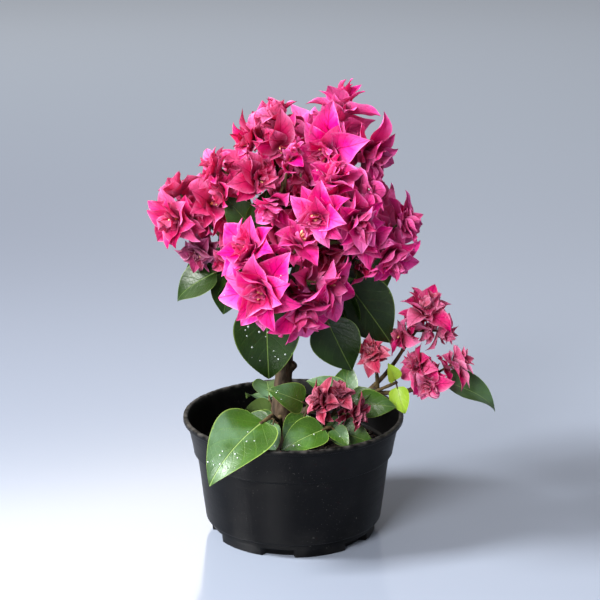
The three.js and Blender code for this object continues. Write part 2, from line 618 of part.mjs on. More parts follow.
function makeMesh(name, solid, material) {
  const mesh = new THREE.Mesh(geometryOf(solid), material);
  mesh.name = name;
  return mesh;
}

function finish(color, roughness) {
  return new THREE.MeshStandardMaterial({ color, roughness, metalness: 0, flatShading: true });
}

const blackPlastic = finish(0x17181b, 0.55);
const pottingSoil = finish(0x2a1f17, 0.95);
const bark = finish(0x4a3a2c, 0.85);
const greenTwig = finish(0x5a4a30, 0.75);
const pinkBract = finish(0xe0289a, 0.6);
const glossyLeaf = finish(0x2f5a1e, 0.35);
const youngLeaf = finish(0x8fb02e, 0.4);

const plant = new THREE.Group();
plant.add(makeMesh("pot", makePot(), blackPlastic));
plant.add(makeMesh("soil", makeSoil(), pottingSoil));

const limbs = growLimbs();
for (const limb of limbs.values()) {
  plant.add(makeMesh(limb.name, limb.solid, limb.radii[0] > WOODY ? bark : greenTwig));
}

const branchings = [...BLOSSOM, ...FOLIAGE].map((spray) => branchOut(spray, limbs));
const sites = branchings.flatMap((branching) => branching.sites);
const balls = stringOfBalls(limbs, branchings);
const leaves = keepLeaves(branchings, balls);
const berths = wasm.Manifold.union([...limbs.values()].map((limb) => limb.berth));
branchings.forEach((branching, order) => {
  const { name, blooms, young } = branching.spray;
  const whole = mainPiece(spraySolid(branching, order, sites, balls, leaves).subtract(berths));
  const leafColour = young ? youngLeaf : glossyLeaf;
  plant.add(makeMesh(name, whole, blooms ? pinkBract : leafColour));
});

export default plant;
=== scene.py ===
# %% [markdown]
# # A young bougainvillea in a nursery pot
#
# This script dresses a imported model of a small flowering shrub. The model holds plain solids at their
# real places: a pot, soil, a trunk, boughs, and one solid for each spray of blossom or leaves. Here
# each is replaced by a finer mesh that grows by the same rule, with the same seeds, so that a bract
# or leaf stands where its plain wedge stood. All growing is worked out in millimetres, as on a
# gardener's sketch, and turned into Blender's metres when a mesh is made.

import math
from functools import cached_property

import bpy
import numpy as np
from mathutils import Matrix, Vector, noise


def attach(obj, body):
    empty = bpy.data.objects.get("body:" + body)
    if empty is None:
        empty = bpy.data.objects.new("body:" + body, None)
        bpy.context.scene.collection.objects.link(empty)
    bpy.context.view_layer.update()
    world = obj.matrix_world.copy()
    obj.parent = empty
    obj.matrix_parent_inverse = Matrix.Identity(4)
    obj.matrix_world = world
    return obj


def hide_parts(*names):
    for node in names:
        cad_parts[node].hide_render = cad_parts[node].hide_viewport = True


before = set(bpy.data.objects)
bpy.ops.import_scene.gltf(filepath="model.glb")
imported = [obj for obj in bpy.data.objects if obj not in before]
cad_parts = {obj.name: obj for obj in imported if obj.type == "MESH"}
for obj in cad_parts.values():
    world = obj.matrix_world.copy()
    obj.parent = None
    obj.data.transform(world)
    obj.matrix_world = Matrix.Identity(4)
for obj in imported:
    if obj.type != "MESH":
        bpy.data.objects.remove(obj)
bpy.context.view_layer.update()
MM = 0.001
print("packed nodes:", len(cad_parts))

# %% [markdown]
# ## Camera
#
# The plant is seen from the front and a little above, from well back, so its lines hardly converge.
# A camera can be placed by hand, or worked out from the angle above the floor, the point that it
# looks at and the distance. The second way is used, because each number can be checked by itself.

# %% Set up the camera
LOOK_AT = Vector((4.6, 0, 165.9)) * MM
CAMERA_RISE = math.radians(16)
CAMERA_DISTANCE = 1.3
LENS = 114

camera = bpy.data.objects.new("camera", bpy.data.cameras.new("camera"))
camera.data.lens = LENS
camera.data.sensor_width = 36
towards_camera = Vector((0, -math.cos(CAMERA_RISE), math.sin(CAMERA_RISE)))
camera.location = LOOK_AT + towards_camera * CAMERA_DISTANCE
camera.rotation_euler = (-towards_camera).to_track_quat("-Z", "Y").to_euler()
bpy.context.scene.collection.objects.link(camera)
bpy.context.scene.camera = camera
print("camera at", [round(x, 3) for x in camera.location])

# %% [markdown]
# ## Shader arithmetic
#
# A pattern in a material is a sum: how far a point is from the midrib, times how pale the midrib is.
# Such sums can be wired up node by node, but then the reader sees wiring and not the sum. So one
# small class wraps an output of a node, and its operators add the Math nodes. Their reflected forms
# are there too, so that 1 - wire works.

# %% Wrap a node's output
class Wire:
    """One output of a node. Arithmetic with numbers or other wires adds Math nodes."""

    def __init__(self, finish, socket):
        self.finish = finish
        self.socket = socket

    def math(self, operation, *others, clamp=False):
        settings = {"operation": operation, "use_clamp": clamp}
        return self.finish.node("ShaderNodeMath", settings, [self, *others])

    def __add__(self, other):
        return self.math("ADD", other)

    def __sub__(self, other):
        return self.math("SUBTRACT", other)

    def __mul__(self, other):
        return self.math("MULTIPLY", other)

    def __pow__(self, other):
        return self.math("POWER", other)

    def __rsub__(self, other):
        return self.finish.node("ShaderNodeMath", {"operation": "SUBTRACT"}, [other, self])

    __radd__ = __add__
    __rmul__ = __mul__

    def held(self):
        """The value kept between 0 and 1."""
        return self.math("ADD", 0.0, clamp=True)

    def step(self, low, high):
        """0 below `low`, 1 above `high` and smooth between; falls instead if `high` is the lower."""
        if high < low:
            return 1 - self.step(high, low)
        settings = {"interpolation_type": "SMOOTHSTEP"}
        sockets = {"Value": self, "From Min": low, "From Max": high}
        return self.finish.node("ShaderNodeMapRange", settings, sockets)


# %% [markdown]
# ## Finishes
#
# Every finish here is a Principled shader with a few wired inputs. Its patterns could be painted
# pictures, but noise, cells and the blade's own two numbers stay sharp close up. One method makes any
# node: it sets the node's settings first, because they decide which sockets show, then its sockets.

# %% Make a finish
class Finish:
    """A material under construction."""

    def __init__(self, name):
        self.material = bpy.data.materials.new(name)
        self.material.use_nodes = True
        self.tree = self.material.node_tree
        self.tree.nodes.clear()

    def node(self, kind, settings=None, sockets=None, output=None):
        """Any node, as a wire from the output that is named, or from its first one."""
        made = self.tree.nodes.new(kind)
        for name, value in (settings or {}).items():
            setattr(made, name, value)
        items = sockets.items() if isinstance(sockets, dict) else enumerate(sockets or [])
        for name, value in items:
            if isinstance(value, Wire):
                self.tree.links.new(value.socket, made.inputs[name])
            else:
                made.inputs[name].default_value = value
        shown = [socket for socket in made.outputs if socket.enabled]
        if shown:
            return Wire(self, made.outputs[output] if output else shown[0])

    def mix(self, share, first, second):
        """A colour: `first` where share is 0, `second` where it is 1."""
        settings = {"data_type": "RGBA", "clamp_factor": True}
        return self.node("ShaderNodeMix", settings, {0: share, 6: first, 7: second})

    def mark(self, name):
        """A number that the mesh carries."""
        return self.node("ShaderNodeAttribute", {"attribute_name": name}, output="Fac")

    def place(self):
        """Where a point lies, in metres."""
        return self.node("ShaderNodeTexCoord", output="Object")

    def noise(self, scale, detail=3, place=None, roughness=0.5):
        sockets = {"Vector": place or self.place(), "Scale": scale, "Detail": detail, "Roughness": roughness}
        return self.node("ShaderNodeTexNoise", {}, sockets)

    def cells(self, scale, feature="DISTANCE_TO_EDGE", place=None):
        sockets = {"Vector": place or self.place(), "Scale": scale}
        return self.node("ShaderNodeTexVoronoi", {"feature": feature}, sockets)

    def finish(self, colour, roughness, height=None, depth=0.0002, glow=None, **constants):
        """Closes the finish. `height` goes through a Bump node.

        `glow` is the share of light that comes through, and its tint."""
        sockets = {"Base Color": colour, "Roughness": roughness}
        sockets.update({name.replace("_", " "): value for name, value in constants.items()})
        if height is not None:
            relief = {"Height": height, "Distance": depth, "Strength": 1.0}
            sockets["Normal"] = self.node("ShaderNodeBump", {}, relief)
        surface = self.node("ShaderNodeBsdfPrincipled", {}, sockets)
        if glow is not None:
            share, tint = glow
            through = self.node("ShaderNodeBsdfTranslucent", {}, {"Color": tint})
            surface = self.node("ShaderNodeMixShader", {}, [share, surface, through])
        self.node("ShaderNodeOutputMaterial", {}, {"Surface": surface})
        return self.material


def rgb(code):
    """A display colour such as "#2f5a1e" as the light that a shader works with."""
    parts = [int(code[i:i + 2], 16) / 255 for i in (1, 3, 5)]
    linear = [x / 12.92 if x <= 0.04045 else ((x + 0.055) / 1.055) ** 2.4 for x in parts]
    return (*linear, 1.0)


# %% [markdown]
# ## Stage and light
#
# The plant stands on a pale, faintly glossy table in a bright room. The table is one large disc. Its
# colour runs from a cool grey near the plant to a paler one far behind it, where less light falls, so
# that it looks even. The far part fills the picture above the plant. So the disc is the backdrop too,
# and no wall gets in the way of a camera that walks round.

# %% Make the table
TABLE_RADIUS = 9.0
NEAR_GREY, LEFT_GREY, RIGHT_GREY, FARTHEST_GREY = "#8f98a8", "#7c8494", "#a3adbe", "#cddcf2"


def table_finish():
    """The changes of colour lie so many metres behind the plant, or to its side."""
    finish = Finish("pale_table")
    across, back = (finish.node("ShaderNodeSeparateXYZ", {}, [finish.place()], output=name) for name in "XY")
    behind = finish.mix(across.step(-0.7, 0.7), rgb(LEFT_GREY), rgb(RIGHT_GREY))
    colour = finish.mix((back - across * 0.22).step(0.02, 0.3), rgb(NEAR_GREY), behind)
    colour = finish.mix(back.step(0.6, 2.6), colour, rgb(FARTHEST_GREY))
    return finish.finish(colour, 0.13, Specular_IOR_Level=0.9)


def make_table():
    bpy.ops.mesh.primitive_circle_add(vertices=96, radius=TABLE_RADIUS, fill_type="NGON")
    table = bpy.context.object
    table.name = "table"
    table.data.materials.append(table_finish())


make_table()
print("table, metres across:", 2 * TABLE_RADIUS)

# %% [markdown]
# One lamp high on the left gives the shape and throws a soft shadow to the right. A larger and weaker
# one, further off at the front, opens the shadows. A wide panel far behind is mirrored by the table, so
# that the table is bright except where the pot stands in the way, and it edges the bracts with light.
# The room's own grey light could do the same alone, but then nothing on the plant would have a dark side.

# %% Hang the lamps
LAMPS_AIM_AT = Vector((0, 0, 0.16))


def hang_lamp(name, place, size, power, colour):
    lamp = bpy.data.lights.new(name, "AREA")
    lamp.shape = "RECTANGLE"
    lamp.size, lamp.size_y = size
    lamp.energy = power
    lamp.color = colour
    holder = bpy.data.objects.new(name, lamp)
    holder.location = place
    holder.rotation_euler = (LAMPS_AIM_AT - Vector(place)).to_track_quat("-Z", "Y").to_euler()
    bpy.context.scene.collection.objects.link(holder)


hang_lamp("key_lamp", (-1.4, -0.36, 1.38), (0.5, 0.5), 88, (0.99, 0.985, 0.98))
hang_lamp("front_lamp", (-0.85, -1.75, 1.2), (0.9, 0.9), 74, (1.0, 0.98, 0.97))
hang_lamp("back_panel", (-1.45, 3.0, 1.93), (3.1, 1.1), 24, (1.0, 0.88, 0.7))

world = bpy.data.worlds.new("room")
bpy.context.scene.world = world
world.use_nodes = True
room_light = world.node_tree.nodes["Background"].inputs
room_light["Color"].default_value = (0.87, 0.87, 0.9, 1)
room_light["Strength"].default_value = 0.32
bpy.context.scene.view_settings.view_transform = "Standard"
print("lamps:", len(bpy.data.lights))

# %% [markdown]
# ## How meshes are collected
#
# A spray holds a hundred bracts, and all are the same grid of faces bent differently. So a template
# is made once for each kind of part, and numpy moves all its copies at the same time. Each copy also
# gets tiles of its own on one map named OFBake, so that a painted picture of the finish never lays
# two faces on one another.

# %% Describe a template
class Template:
    """Faces over numbered points. `corners` lists them flat, `sizes` says how many each face has."""

    def __init__(self, faces, places, tiles, marks, edge):
        self.corners = np.array([point for face in faces for point in face])
        self.sizes = np.array([len(face) for face in faces])
        self.places = np.array([place for face in places for place in face])
        self.tiles = np.array(tiles)
        self.marks = np.array(marks, float)
        self.edge = np.array(edge, bool)
        self.tile_count = int(self.tiles.max()) + 1


# %% Make a blade's template
def blade_template(rows, columns):
    """A closed blade of two sheets that share their rim, in rows from foot to tip."""
    along, across = np.linspace(0, 1, rows + 1), np.linspace(-1, 1, columns + 1)
    grid = [(v, u) for v in along for u in across]
    width = columns + 1
    number = {(i, j): i * width + j for i in range(rows + 1) for j in range(width)}
    under, below = dict(number), []
    for i in range(1, rows):
        for j in range(1, columns):
            under[i, j] = len(grid) + len(below)
            below.append((along[i], across[j]))
    faces, places, tiles, marks = [], [], [], []
    for i in range(rows):
        for j in range(columns):
            ring = [(i, j), (i, j + 1), (i + 1, j + 1), (i + 1, j)]
            spots = [((across[b] + 1) / 2, along[a]) for a, b in ring]
            faces.append([number[spot] for spot in ring])
            places.append(spots)
            faces.append([under[spot] for spot in ring[::-1]])
            places.append(spots[::-1])
            tiles += [0, 1]
            marks += [0, 1]
    rim = [i in (0, rows) or j in (0, columns) for i, j in number] + [False] * len(below)
    template = Template(faces, places, tiles, marks, rim)
    template.along = np.array([v for v, u in grid + below])
    template.across = np.array([u for v, u in grid + below])
    template.upper = np.array([1.0] * len(grid) + [-1.0] * len(below))
    return template


# %% Make a tube's template
END_OVERLAP = 0.06


def tube_template(rings, sides):
    """A closed tube. Its points run round first, then along, and its two end points come last."""
    first, last = (rings + 1) * sides, (rings + 1) * sides + 1
    faces, places = [], []
    for i in range(rings):
        for j in range(sides):
            k = (j + 1) % sides
            faces.append([i * sides + j, i * sides + k, (i + 1) * sides + k, (i + 1) * sides + j])
            places.append([(j / sides, i / rings), ((j + 1) / sides, i / rings),
                           ((j + 1) / sides, (i + 1) / rings), (j / sides, (i + 1) / rings)])
    for j in range(sides):
        k = (j + 1) % sides
        faces += [[first, k, j], [last, rings * sides + j, rings * sides + k]]
        places += [[(0.5, -END_OVERLAP), ((j + 1) / sides, 0), (j / sides, 0)],
                   [(0.5, 1 + END_OVERLAP), (j / sides, 1), ((j + 1) / sides, 1)]]
    places = [[(x, (y + END_OVERLAP) / (1 + 2 * END_OVERLAP)) for x, y in spots] for spots in places]
    count = (rings + 1) * sides + 2
    return Template(faces, places, [0] * len(faces), [0] * len(faces), [False] * count)


# %% Collect copies into one mesh
TILE_MARGIN = 0.07


class Growth:
    """Copies of templates, joined into one piece."""

    def __init__(self):
        self.points, self.corners, self.sizes = [], [], []
        self.places, self.tiles, self.marks, self.edges = [], [], [], []
        self.point_count = self.tile_count = 0

    def add(self, template, points, **marks):
        """`points` is copies x points x 3, in millimetres; each mark is one number for each copy."""
        copies, size = points.shape[:2]
        offsets = self.point_count + size * np.arange(copies)
        tiles = self.tile_count + template.tile_count * np.arange(copies)
        faces = len(template.sizes)
        self.points.append(points.reshape(-1, 3))
        self.corners.append((template.corners + offsets[:, None]).ravel())
        self.sizes.append(np.tile(template.sizes, copies))
        self.places.append(np.tile(template.places, (copies, 1)))
        face_tiles = (template.tiles + tiles[:, None]).ravel()
        self.tiles.append(np.repeat(face_tiles, self.sizes[-1]))
        self.edges.append(np.tile(template.edge, copies))
        values = {name: np.repeat(np.asarray(value, float), faces) for name, value in marks.items()}
        values["under"] = np.tile(template.marks, copies)
        self.marks.append(values)
        self.point_count += copies * size
        self.tile_count += copies * template.tile_count

    def make(self, name, material, slot, *nodes):
        """Builds the piece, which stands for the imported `nodes`."""
        mesh = bpy.data.meshes.new(name)
        corners, sizes = np.concatenate(self.corners), np.concatenate(self.sizes)
        mesh.vertices.add(self.point_count)
        mesh.vertices.foreach_set("co", (np.concatenate(self.points) * MM).ravel())
        mesh.loops.add(len(corners))
        mesh.loops.foreach_set("vertex_index", corners)
        mesh.polygons.add(len(sizes))
        mesh.polygons.foreach_set("loop_start", np.cumsum(sizes) - sizes)
        mesh.update(calc_edges=True)
        self.lay_maps(mesh)
        for mark in self.marks[0]:
            values = np.concatenate([marks[mark] for marks in self.marks])
            mesh.attributes.new(mark, "FLOAT", "FACE").data.foreach_set("value", values)
        self.sharpen(mesh)
        mesh.materials.append(material)
        piece = bpy.data.objects.new(name, mesh)
        bpy.context.scene.collection.objects.link(piece)
        settle(piece, slot, *nodes)
        return piece

    def lay_maps(self, mesh):
        places, tiles = np.concatenate(self.places), np.concatenate(self.tiles)
        side = math.ceil(math.sqrt(self.tile_count))
        corner = np.stack([tiles % side, tiles // side], axis=1)
        baked = (corner + TILE_MARGIN + (1 - 2 * TILE_MARGIN) * places) / side
        for name, spots in (("OFBake", baked), ("blade", places)):
            mesh.uv_layers.new(name=name).data.foreach_set("uv", spots.ravel())

    def sharpen(self, mesh):
        """Marks the rims, so that the light breaks there and not on the faces beside them."""
        edge = np.concatenate(self.edges)
        ends = np.zeros(len(mesh.edges) * 2, int)
        mesh.edges.foreach_get("vertices", ends)
        rims = edge[ends.reshape(-1, 2)].all(axis=1)
        mesh.attributes.new("sharp_edge", "BOOLEAN", "EDGE").data.foreach_set("value", rims)


def settle(piece, slot, *nodes):
    """What every piece of the plant needs: its body and, hidden, the imported nodes that it stands for.
    `slot` is not used.
    """
    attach(piece, "root")
    if nodes:
        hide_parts(*nodes)


# %% [markdown]
# ## The rule that the plant grows by
#
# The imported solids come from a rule: a list of boughs, a list of sprays with the way each bloom or
# leaf looks, and chance with a seed. A list of all their points would be long and dead. The same rule
# is written here again, so that everything finer starts from the same blades.

# %% List the trunk and the boughs
SOIL_LEVEL = 60
TRUNK = ("trunk", (-10, 3, SOIL_LEVEL), (-3, 4, 163), (7.2, 4.6))

# Each bough: its name, its parent, where it leaves that (0 foot, 1 tip), its tip, and its radii.
BOUGHS = [
    ("bough_leader", "trunk", 1, (20, 3, 251), (4.2, 2.2)),
    ("bough_top_left", "bough_leader", 0.52, (-11, 0, 259), (2.6, 1.7)),
    ("bough_top_back", "bough_leader", 0.42, (7, 22, 236), (2.6, 1.7)),
    ("bough_heart", "bough_leader", 0.3, (-4, -16, 234), (2.4, 1.5)),
    ("bough_middle", "bough_leader", 0.2, (22, -20, 220), (2.8, 1.8)),
    ("bough_left", "trunk", 0.86, (-49, -3, 212), (3.8, 2)),
    ("bough_left_upper", "bough_left", 0.5, (-29, -10, 235), (2.6, 1.7)),
    ("bough_left_low", "bough_left", 0.62, (-51, 4, 196), (2.2, 1.5)),
    ("bough_front", "trunk", 0.74, (-8, -28, 183), (3.6, 2.1)),
    ("bough_right", "trunk", 0.94, (42, -8, 199), (3.6, 2)),
    ("bough_back", "trunk", 0.8, (2, 38, 190), (3.6, 2)),
    ("bough_back_left", "bough_back", 0.45, (-29, 29, 200), (2.5, 1.7)),
    ("bough_back_right", "bough_back", 0.5, (30, 30, 203), (2.5, 1.7)),
    ("bough_low_right", "trunk", 0.12, (58, -8, 105), (3.6, 2)),
    ("bough_low_right_upper", "bough_low_right", 0.8, (75, -4, 131), (1.9, 1.2)),
    ("bough_low_right_outer", "bough_low_right", 0.88, (86, -12, 107), (1.9, 1.2)),
    ("bough_low_front", "trunk", 0.05, (20, -32, 86), (3, 1.6)),
    ("bough_low_left", "trunk", 0.09, (-9, -30, 92), (2.8, 1.6)),
    ("bough_low_back", "trunk", 0.1, (-16, 32, 76), (2.8, 1.5)),
]

# %% List the sprays of blossom
# Each spray: name, bough, middle, how far the blooms stand from it, its paint, and the blooms as
# (bearing, rise, bract length).
BLOSSOM = [
    ("blossom_top", "bough_leader", (32, 1, 276), 17, "rose",
     [(84, 74, 29), (-117, -8, 35), (-26, -18, 30), (95, 0, 27)]),
    ("blossom_top_left", "bough_top_left", (-12, -6, 279), 12, "cherry",
     [(0, 83, 22), (-75, -10, 26), (-160, 0, 24), (109, 4, 24)]),
    ("blossom_top_back", "bough_top_back", (6, 36, 257), 16, "rose",
     [(70, 50, 29), (135, 0, 29), (25, -10, 29)]),
    ("blossom_heart", "bough_heart", (-7, -27, 254), 15, "rose", [(-40, 70, 24), (-120, -50, 24)]),
    ("blossom_middle", "bough_middle", (28, -36, 239), 17, "rose",
     [(-119, -4, 31), (-102, 72, 27), (-55, -11, 30), (7, 26, 26)]),
    ("blossom_left_upper", "bough_left_upper", (-34, -16, 256), 14, "cherry",
     [(-170, 20, 21), (-50, 5, 26), (82, 10, 23), (-150, -33, 22)]),
    ("blossom_left", "bough_left", (-66, -6, 231), 14, "cherry",
     [(161, 42, 20), (-135, -12, 27), (-40, 22, 24), (92, -6, 23)]),
    ("blossom_left_low", "bough_left_low", (-60, 2, 206), 7, "dusk", [(-112, -25, 21)]),
    ("blossom_front", "bough_front", (-7, -44, 198), 24, "rose",
     [(-114, -8, 38), (-147, 34, 34), (-58, -42, 37), (-19, -13, 35), (-40, 56, 28)]),
    ("blossom_right", "bough_right", (56, -15, 217), 15, "rose",
     [(-115, 2, 27), (-15, 24, 25), (-50, -42, 28), (75, -6, 24)]),
    ("blossom_back", "bough_back", (4, 56, 213), 20, "rose",
     [(95, 18, 34), (165, -12, 30), (15, -15, 30)]),
    ("blossom_back_left", "bough_back_left", (-41, 38, 219), 17, "cherry",
     [(130, 26, 27), (85, -10, 27), (-165, -12, 26)]),
    ("blossom_back_right", "bough_back_right", (38, 40, 222), 17, "rose",
     [(60, 24, 27), (100, -15, 27), (5, -14, 26)]),
    ("blossom_low_right_upper", "bough_low_right_upper", (86, -2, 147), 13, "claret",
     [(-68, 62, 24), (-147, -6, 22), (10, -14, 19)]),
    ("blossom_low_right_outer", "bough_low_right_outer", (97, -12, 118), 12, "claret",
     [(-159, 28, 21), (5, 24, 21), (-112, -18, 17)]),
    ("blossom_low_right_inner", "bough_low_right", (55, -16, 128), 6, "rust", [(-112, 50, 19)]),
    ("blossom_low_front", "bough_low_front", (30, -38, 101), 11, "crimson",
     [(-157, 27, 18), (-22, -10, 17), (-80, 62, 14)]),
]

print("limbs listed:", 1 + len(BOUGHS), "- sprays of blossom:", len(BLOSSOM))

# %% List the sprays of leaves
# Each spray: name, bough, where its stem leaves that and where it ends, the way the leaves' upper
# sides look, its green, and the leaves as (bearing, rise, length, place on the stem, roll, droop).
FOLIAGE = [
    ("leaves_front", "bough_front", 0.75, (-19, -34, 183), (-90, 15), "deep",
     [(-80, -78, 56, 1, 0)]),
    ("leaves_left", "bough_left", 0.7, (-47, -6, 190), (-100, 40), "deep",
     [(-177, -26, 37, 1, 10), (-165, -60, 20, 0.8, 30), (-120, -75, 30, 0.6, -20)]),
    ("leaves_inner", "bough_left_upper", 0.6, (-25, -22, 220), (-95, 20), "deep",
     [(-171, 50, 27, 1, 0), (-10, 70, 26, 0.8, 25)]),
    ("leaves_middle", "bough_middle", 0.8, (32, -30, 214), (90, 71), "deep",
     [(-158, -4, 24, 1, 0)]),
    ("leaves_right", "bough_right", 0.7, (33, -10, 186), (-70, 30), "deep",
     [(-14, -52, 51, 1, 20), (25, -58, 50, 0.8, -10), (-5, -80, 40, 0.7, 70)]),
    ("leaves_right_inner", "bough_right", 0.36, (20, -27, 166), (-100, 15), "deep",
     [(-6, -66, 43, 1, 0)]),
    ("leaves_back", "bough_back", 0.72, (3, 48, 177), (90, 35), "deep",
     [(75, -52, 54, 1, 0), (150, -50, 48, 0.8, 10), (10, -50, 48, 0.6, -10)]),
    ("leaves_back_left", "bough_back_left", 0.72, (-38, 34, 196), (130, 35), "deep",
     [(160, -30, 46, 1, 0), (118, -50, 40, 0.6, 10)]),
    ("leaves_back_right", "bough_back_right", 0.72, (42, 36, 198), (50, 35), "deep",
     [(38, -46, 44, 1, 0), (80, -58, 44, 0.7, -10)]),
    ("leaves_low_right", "bough_low_right", 0.5, (40, -20, 99), (-95, 45), "fresh",
     [(-20, 36, 18, 0.9, 0), (175, 32, 30, 1, 10), (70, 60, 26, 0.6, 0), (-25, 4, 28, 1, 20)]),
    ("leaves_low_right_outer", "bough_low_right_outer", 0.7, (98, -8, 112), (-88, 68), "fresh",
     [(3, -18, 46, 1, 0)]),
    ("leaves_young", "bough_low_right", 0.86, (71, -16, 112), (-100, 20), "young",
     [(-64, -58, 20, 1, 0), (-120, 60, 15, 1, 30)]),
    ("leaves_low_front", "bough_low_front", 0.8, (26, -42, 89), (-95, 50), "fresh",
     [(-145, -6, 36, 1, 0), (-57, -15, 18, 1, 0), (-14, -8, 32, 0.5, 0)]),
    ("leaves_low_middle", "bough_low_front", 0.6, (10, -32, 102), (-95, 30), "fresh",
     [(-140, 30, 30, 1, 0), (-118, -42, 32, 0.85, 0)]),
    ("leaves_low_left", "bough_low_left", 0.7, (-14, -46, 99), (-110, 50), "fresh",
     [(-127, -10, 62, 1, -5, 0.7), (-170, -14, 24, 0.6, 0), (-115, -62, 25, 0.7, 10)]),
    ("leaves_low_back", "bough_low_back", 0.6, (-17, 36, 80), (90, 70), "fresh",
     [(95, 18, 34, 1, 0), (40, 2, 38, 0.8, 10), (125, 8, 28, 0.8, -10)]),
]
print("sprays of leaves:", len(FOLIAGE))

# %% [markdown]
# Directions are given as a gardener would say them: a bearing round the compass and a rise above the
# horizon. Two vectors square to a direction are needed again and again, to open a bract by an angle
# or to lay a ring of bark round a bough.

# %% Turn directions into vectors
UP = np.array([0.0, 0.0, 1.0])
AHEAD = np.array([0.0, 1.0, 0.0])
STEEP = 0.97


def unit(vector):
    return vector / np.linalg.norm(vector)


def direction(bearing, rise):
    """The way that a bearing and a rise in degrees point."""
    b, r = math.radians(bearing), math.radians(rise)
    return np.array([math.cos(b) * math.cos(r), math.sin(b) * math.cos(r), math.sin(r)])


def crosswise(axis):
    """Two directions square to the axis and to each other."""
    side = unit(np.cross(axis, AHEAD if abs(axis[2]) > STEEP else UP))
    return side, np.cross(side, axis)


def tilted(axis, angle, turn):
    """The axis tilted by `angle` towards the point of the clock `turn` about it."""
    side, over = crosswise(axis)
    return axis * math.cos(angle) + (side * math.cos(turn) + over * math.sin(turn)) * math.sin(angle)


def turned_about(vector, axis, angle):
    return (vector * math.cos(angle) + np.cross(axis, vector) * math.sin(angle)
            + axis * axis.dot(vector) * (1 - math.cos(angle)))


def chance(seed):
    """Numbers from 0 to 1, always the same for the same seed, and the same as the solids' own."""
    state = seed

    def draw():
        nonlocal state
        state = (state * 1664525 + 1013904223) % 2 ** 32
        return state / 2 ** 32

    return draw


# %% [markdown]
# A limb's centre line leaves its parent the way the parent runs there, and ends turned a little up,
# as wood does that grows to the light. A cubic Bezier curve gives both from four points.

# %% Grow the limbs
ROOT_FLARE, FLARE_HEIGHT = 0.55, 7
LIMB_REACH = 0.36
STRAIGHTENING = 0.6
ARRIVAL_LIFT = 0.4


class Limb:
    def __init__(self, name, foot, tip, radii, leaving):
        self.name, self.radii = name, radii
        foot, tip = np.array(foot, float), np.array(tip, float)
        chord = unit(tip - foot)
        reach = np.linalg.norm(tip - foot) * LIMB_REACH
        set_off = unit(leaving + (chord - leaving) * STRAIGHTENING)
        arrive = unit(chord + UP * ARRIVAL_LIFT)
        self.handles = [foot, foot + set_off * reach, tip - arrive * reach, tip]

    def at(self, share):
        a, b, c, d = self.handles
        t = np.asarray(share, float)[..., None]
        return a * (1 - t) ** 3 + 3 * b * t * (1 - t) ** 2 + 3 * c * t ** 2 * (1 - t) + d * t ** 3

    def heading(self, share):
        a, b, c, d = self.handles
        return unit((b - a) * (1 - share) ** 2 + 2 * (c - b) * share * (1 - share) + (d - c) * share ** 2)

    def radius(self, share):
        foot, tip = self.radii
        taper = foot + (tip - foot) * np.asarray(share, float)
        if self.name != "trunk":
            return taper
        above = share * (self.handles[3][2] - SOIL_LEVEL)
        return taper * (1 + ROOT_FLARE * np.exp(-above / FLARE_HEIGHT))


def grow_limbs():
    name, foot, tip, radii = TRUNK
    limbs = {name: Limb(name, foot, tip, radii, UP)}
    for name, parent, start, tip, radii in BOUGHS:
        stem = limbs[parent]
        limbs[name] = Limb(name, stem.at(start), tip, radii, stem.heading(start))
    return limbs


limbs = grow_limbs()
print("limbs:", len(limbs), "- trunk tip at", limbs["trunk"].at(1))


# %% [markdown]
# A blade is a bract or a leaf: a foot, a way forward, an upper side, and how it curls and folds. Its
# surface is one formula in two numbers, along and across, which is used to test it for room and later
# to make its mesh.

# %% Describe a blade
class Blade:
    def __init__(self, foot, forward, facing, roll, length, width, curl, fold, bulge, point, **marks):
        self.foot, self.forward = foot, forward
        normal = unit(facing - forward * facing.dot(forward))
        self.normal = turned_about(normal, forward, roll)
        self.side = np.cross(forward, self.normal)
        self.length, self.width, self.curl = length, width, curl
        self.fold, self.bulge, self.point = fold, bulge, point
        self.marks = marks

    def half_width(self, along):
        swell = np.maximum(np.sin(np.pi * along ** self.bulge), 0)
        return self.width / 2 * swell ** self.point

    def at(self, along, across):
        along, across = np.asarray(along, float), np.asarray(across, float)
        bent = self.curl * along
        run, drop = np.sin(bent) / self.curl, (1 - np.cos(bent)) / self.curl
        side = self.half_width(along) * across
        outwards = self.normal * np.cos(bent)[..., None] + self.forward * np.sin(bent)[..., None]
        return (self.foot + self.forward * (run * self.length)[..., None]
                - self.normal * (drop * self.length)[..., None]
                + self.side * (side * math.cos(self.fold))[..., None]
                + outwards * (np.abs(side) * math.sin(self.fold))[..., None])

    @cached_property
    def samples(self):
        along = np.array([0.16, 0.3, 0.44, 0.58, 0.72, 0.86, 1])
        across = np.array([-1, -0.5, 0, 0.5, 1])
        return self.at(*(grid.ravel() for grid in np.meshgrid(along, across, indexing="ij")))

    def meets(self, points, reach):
        """Which points come within `reach` of the blade's sheet."""
        offset = points - self.foot
        run = offset @ self.forward
        along = np.clip(run / self.length, 0, 1)
        out = np.abs(offset @ self.side)
        drop = (1 - np.cos(self.curl * along)) / self.curl * self.length
        gap = np.abs(offset @ self.normal + drop - out * math.sin(self.fold))
        inside = (run > -reach) & (run < self.length + reach)
        return inside & (out < self.half_width(along) + reach) & (gap < reach)


# %% [markdown]
# A spray of blossom forks from one stem to its blooms. A spray of leaves is one stem with its leaves
# set along it. Chance plays no part yet.

# %% Branch the sprays
STEM_RADIUS, TWIG_RADIUS = 1.4, 1.1
FIRST_FORK, FORKS = 0.25, 0.6
BLOOM_ROOM = 0.7
SITE_HEIGHT = 0.2
LEAF_SHAPE = {"fold": 0.14, "bulge": 0.66, "point": 0.92}
LEAF_WIDTH = 0.8
LEAF_STALK = 0.16
LEAF_DROOP = 0.35
LAST_LEAF = 0.97


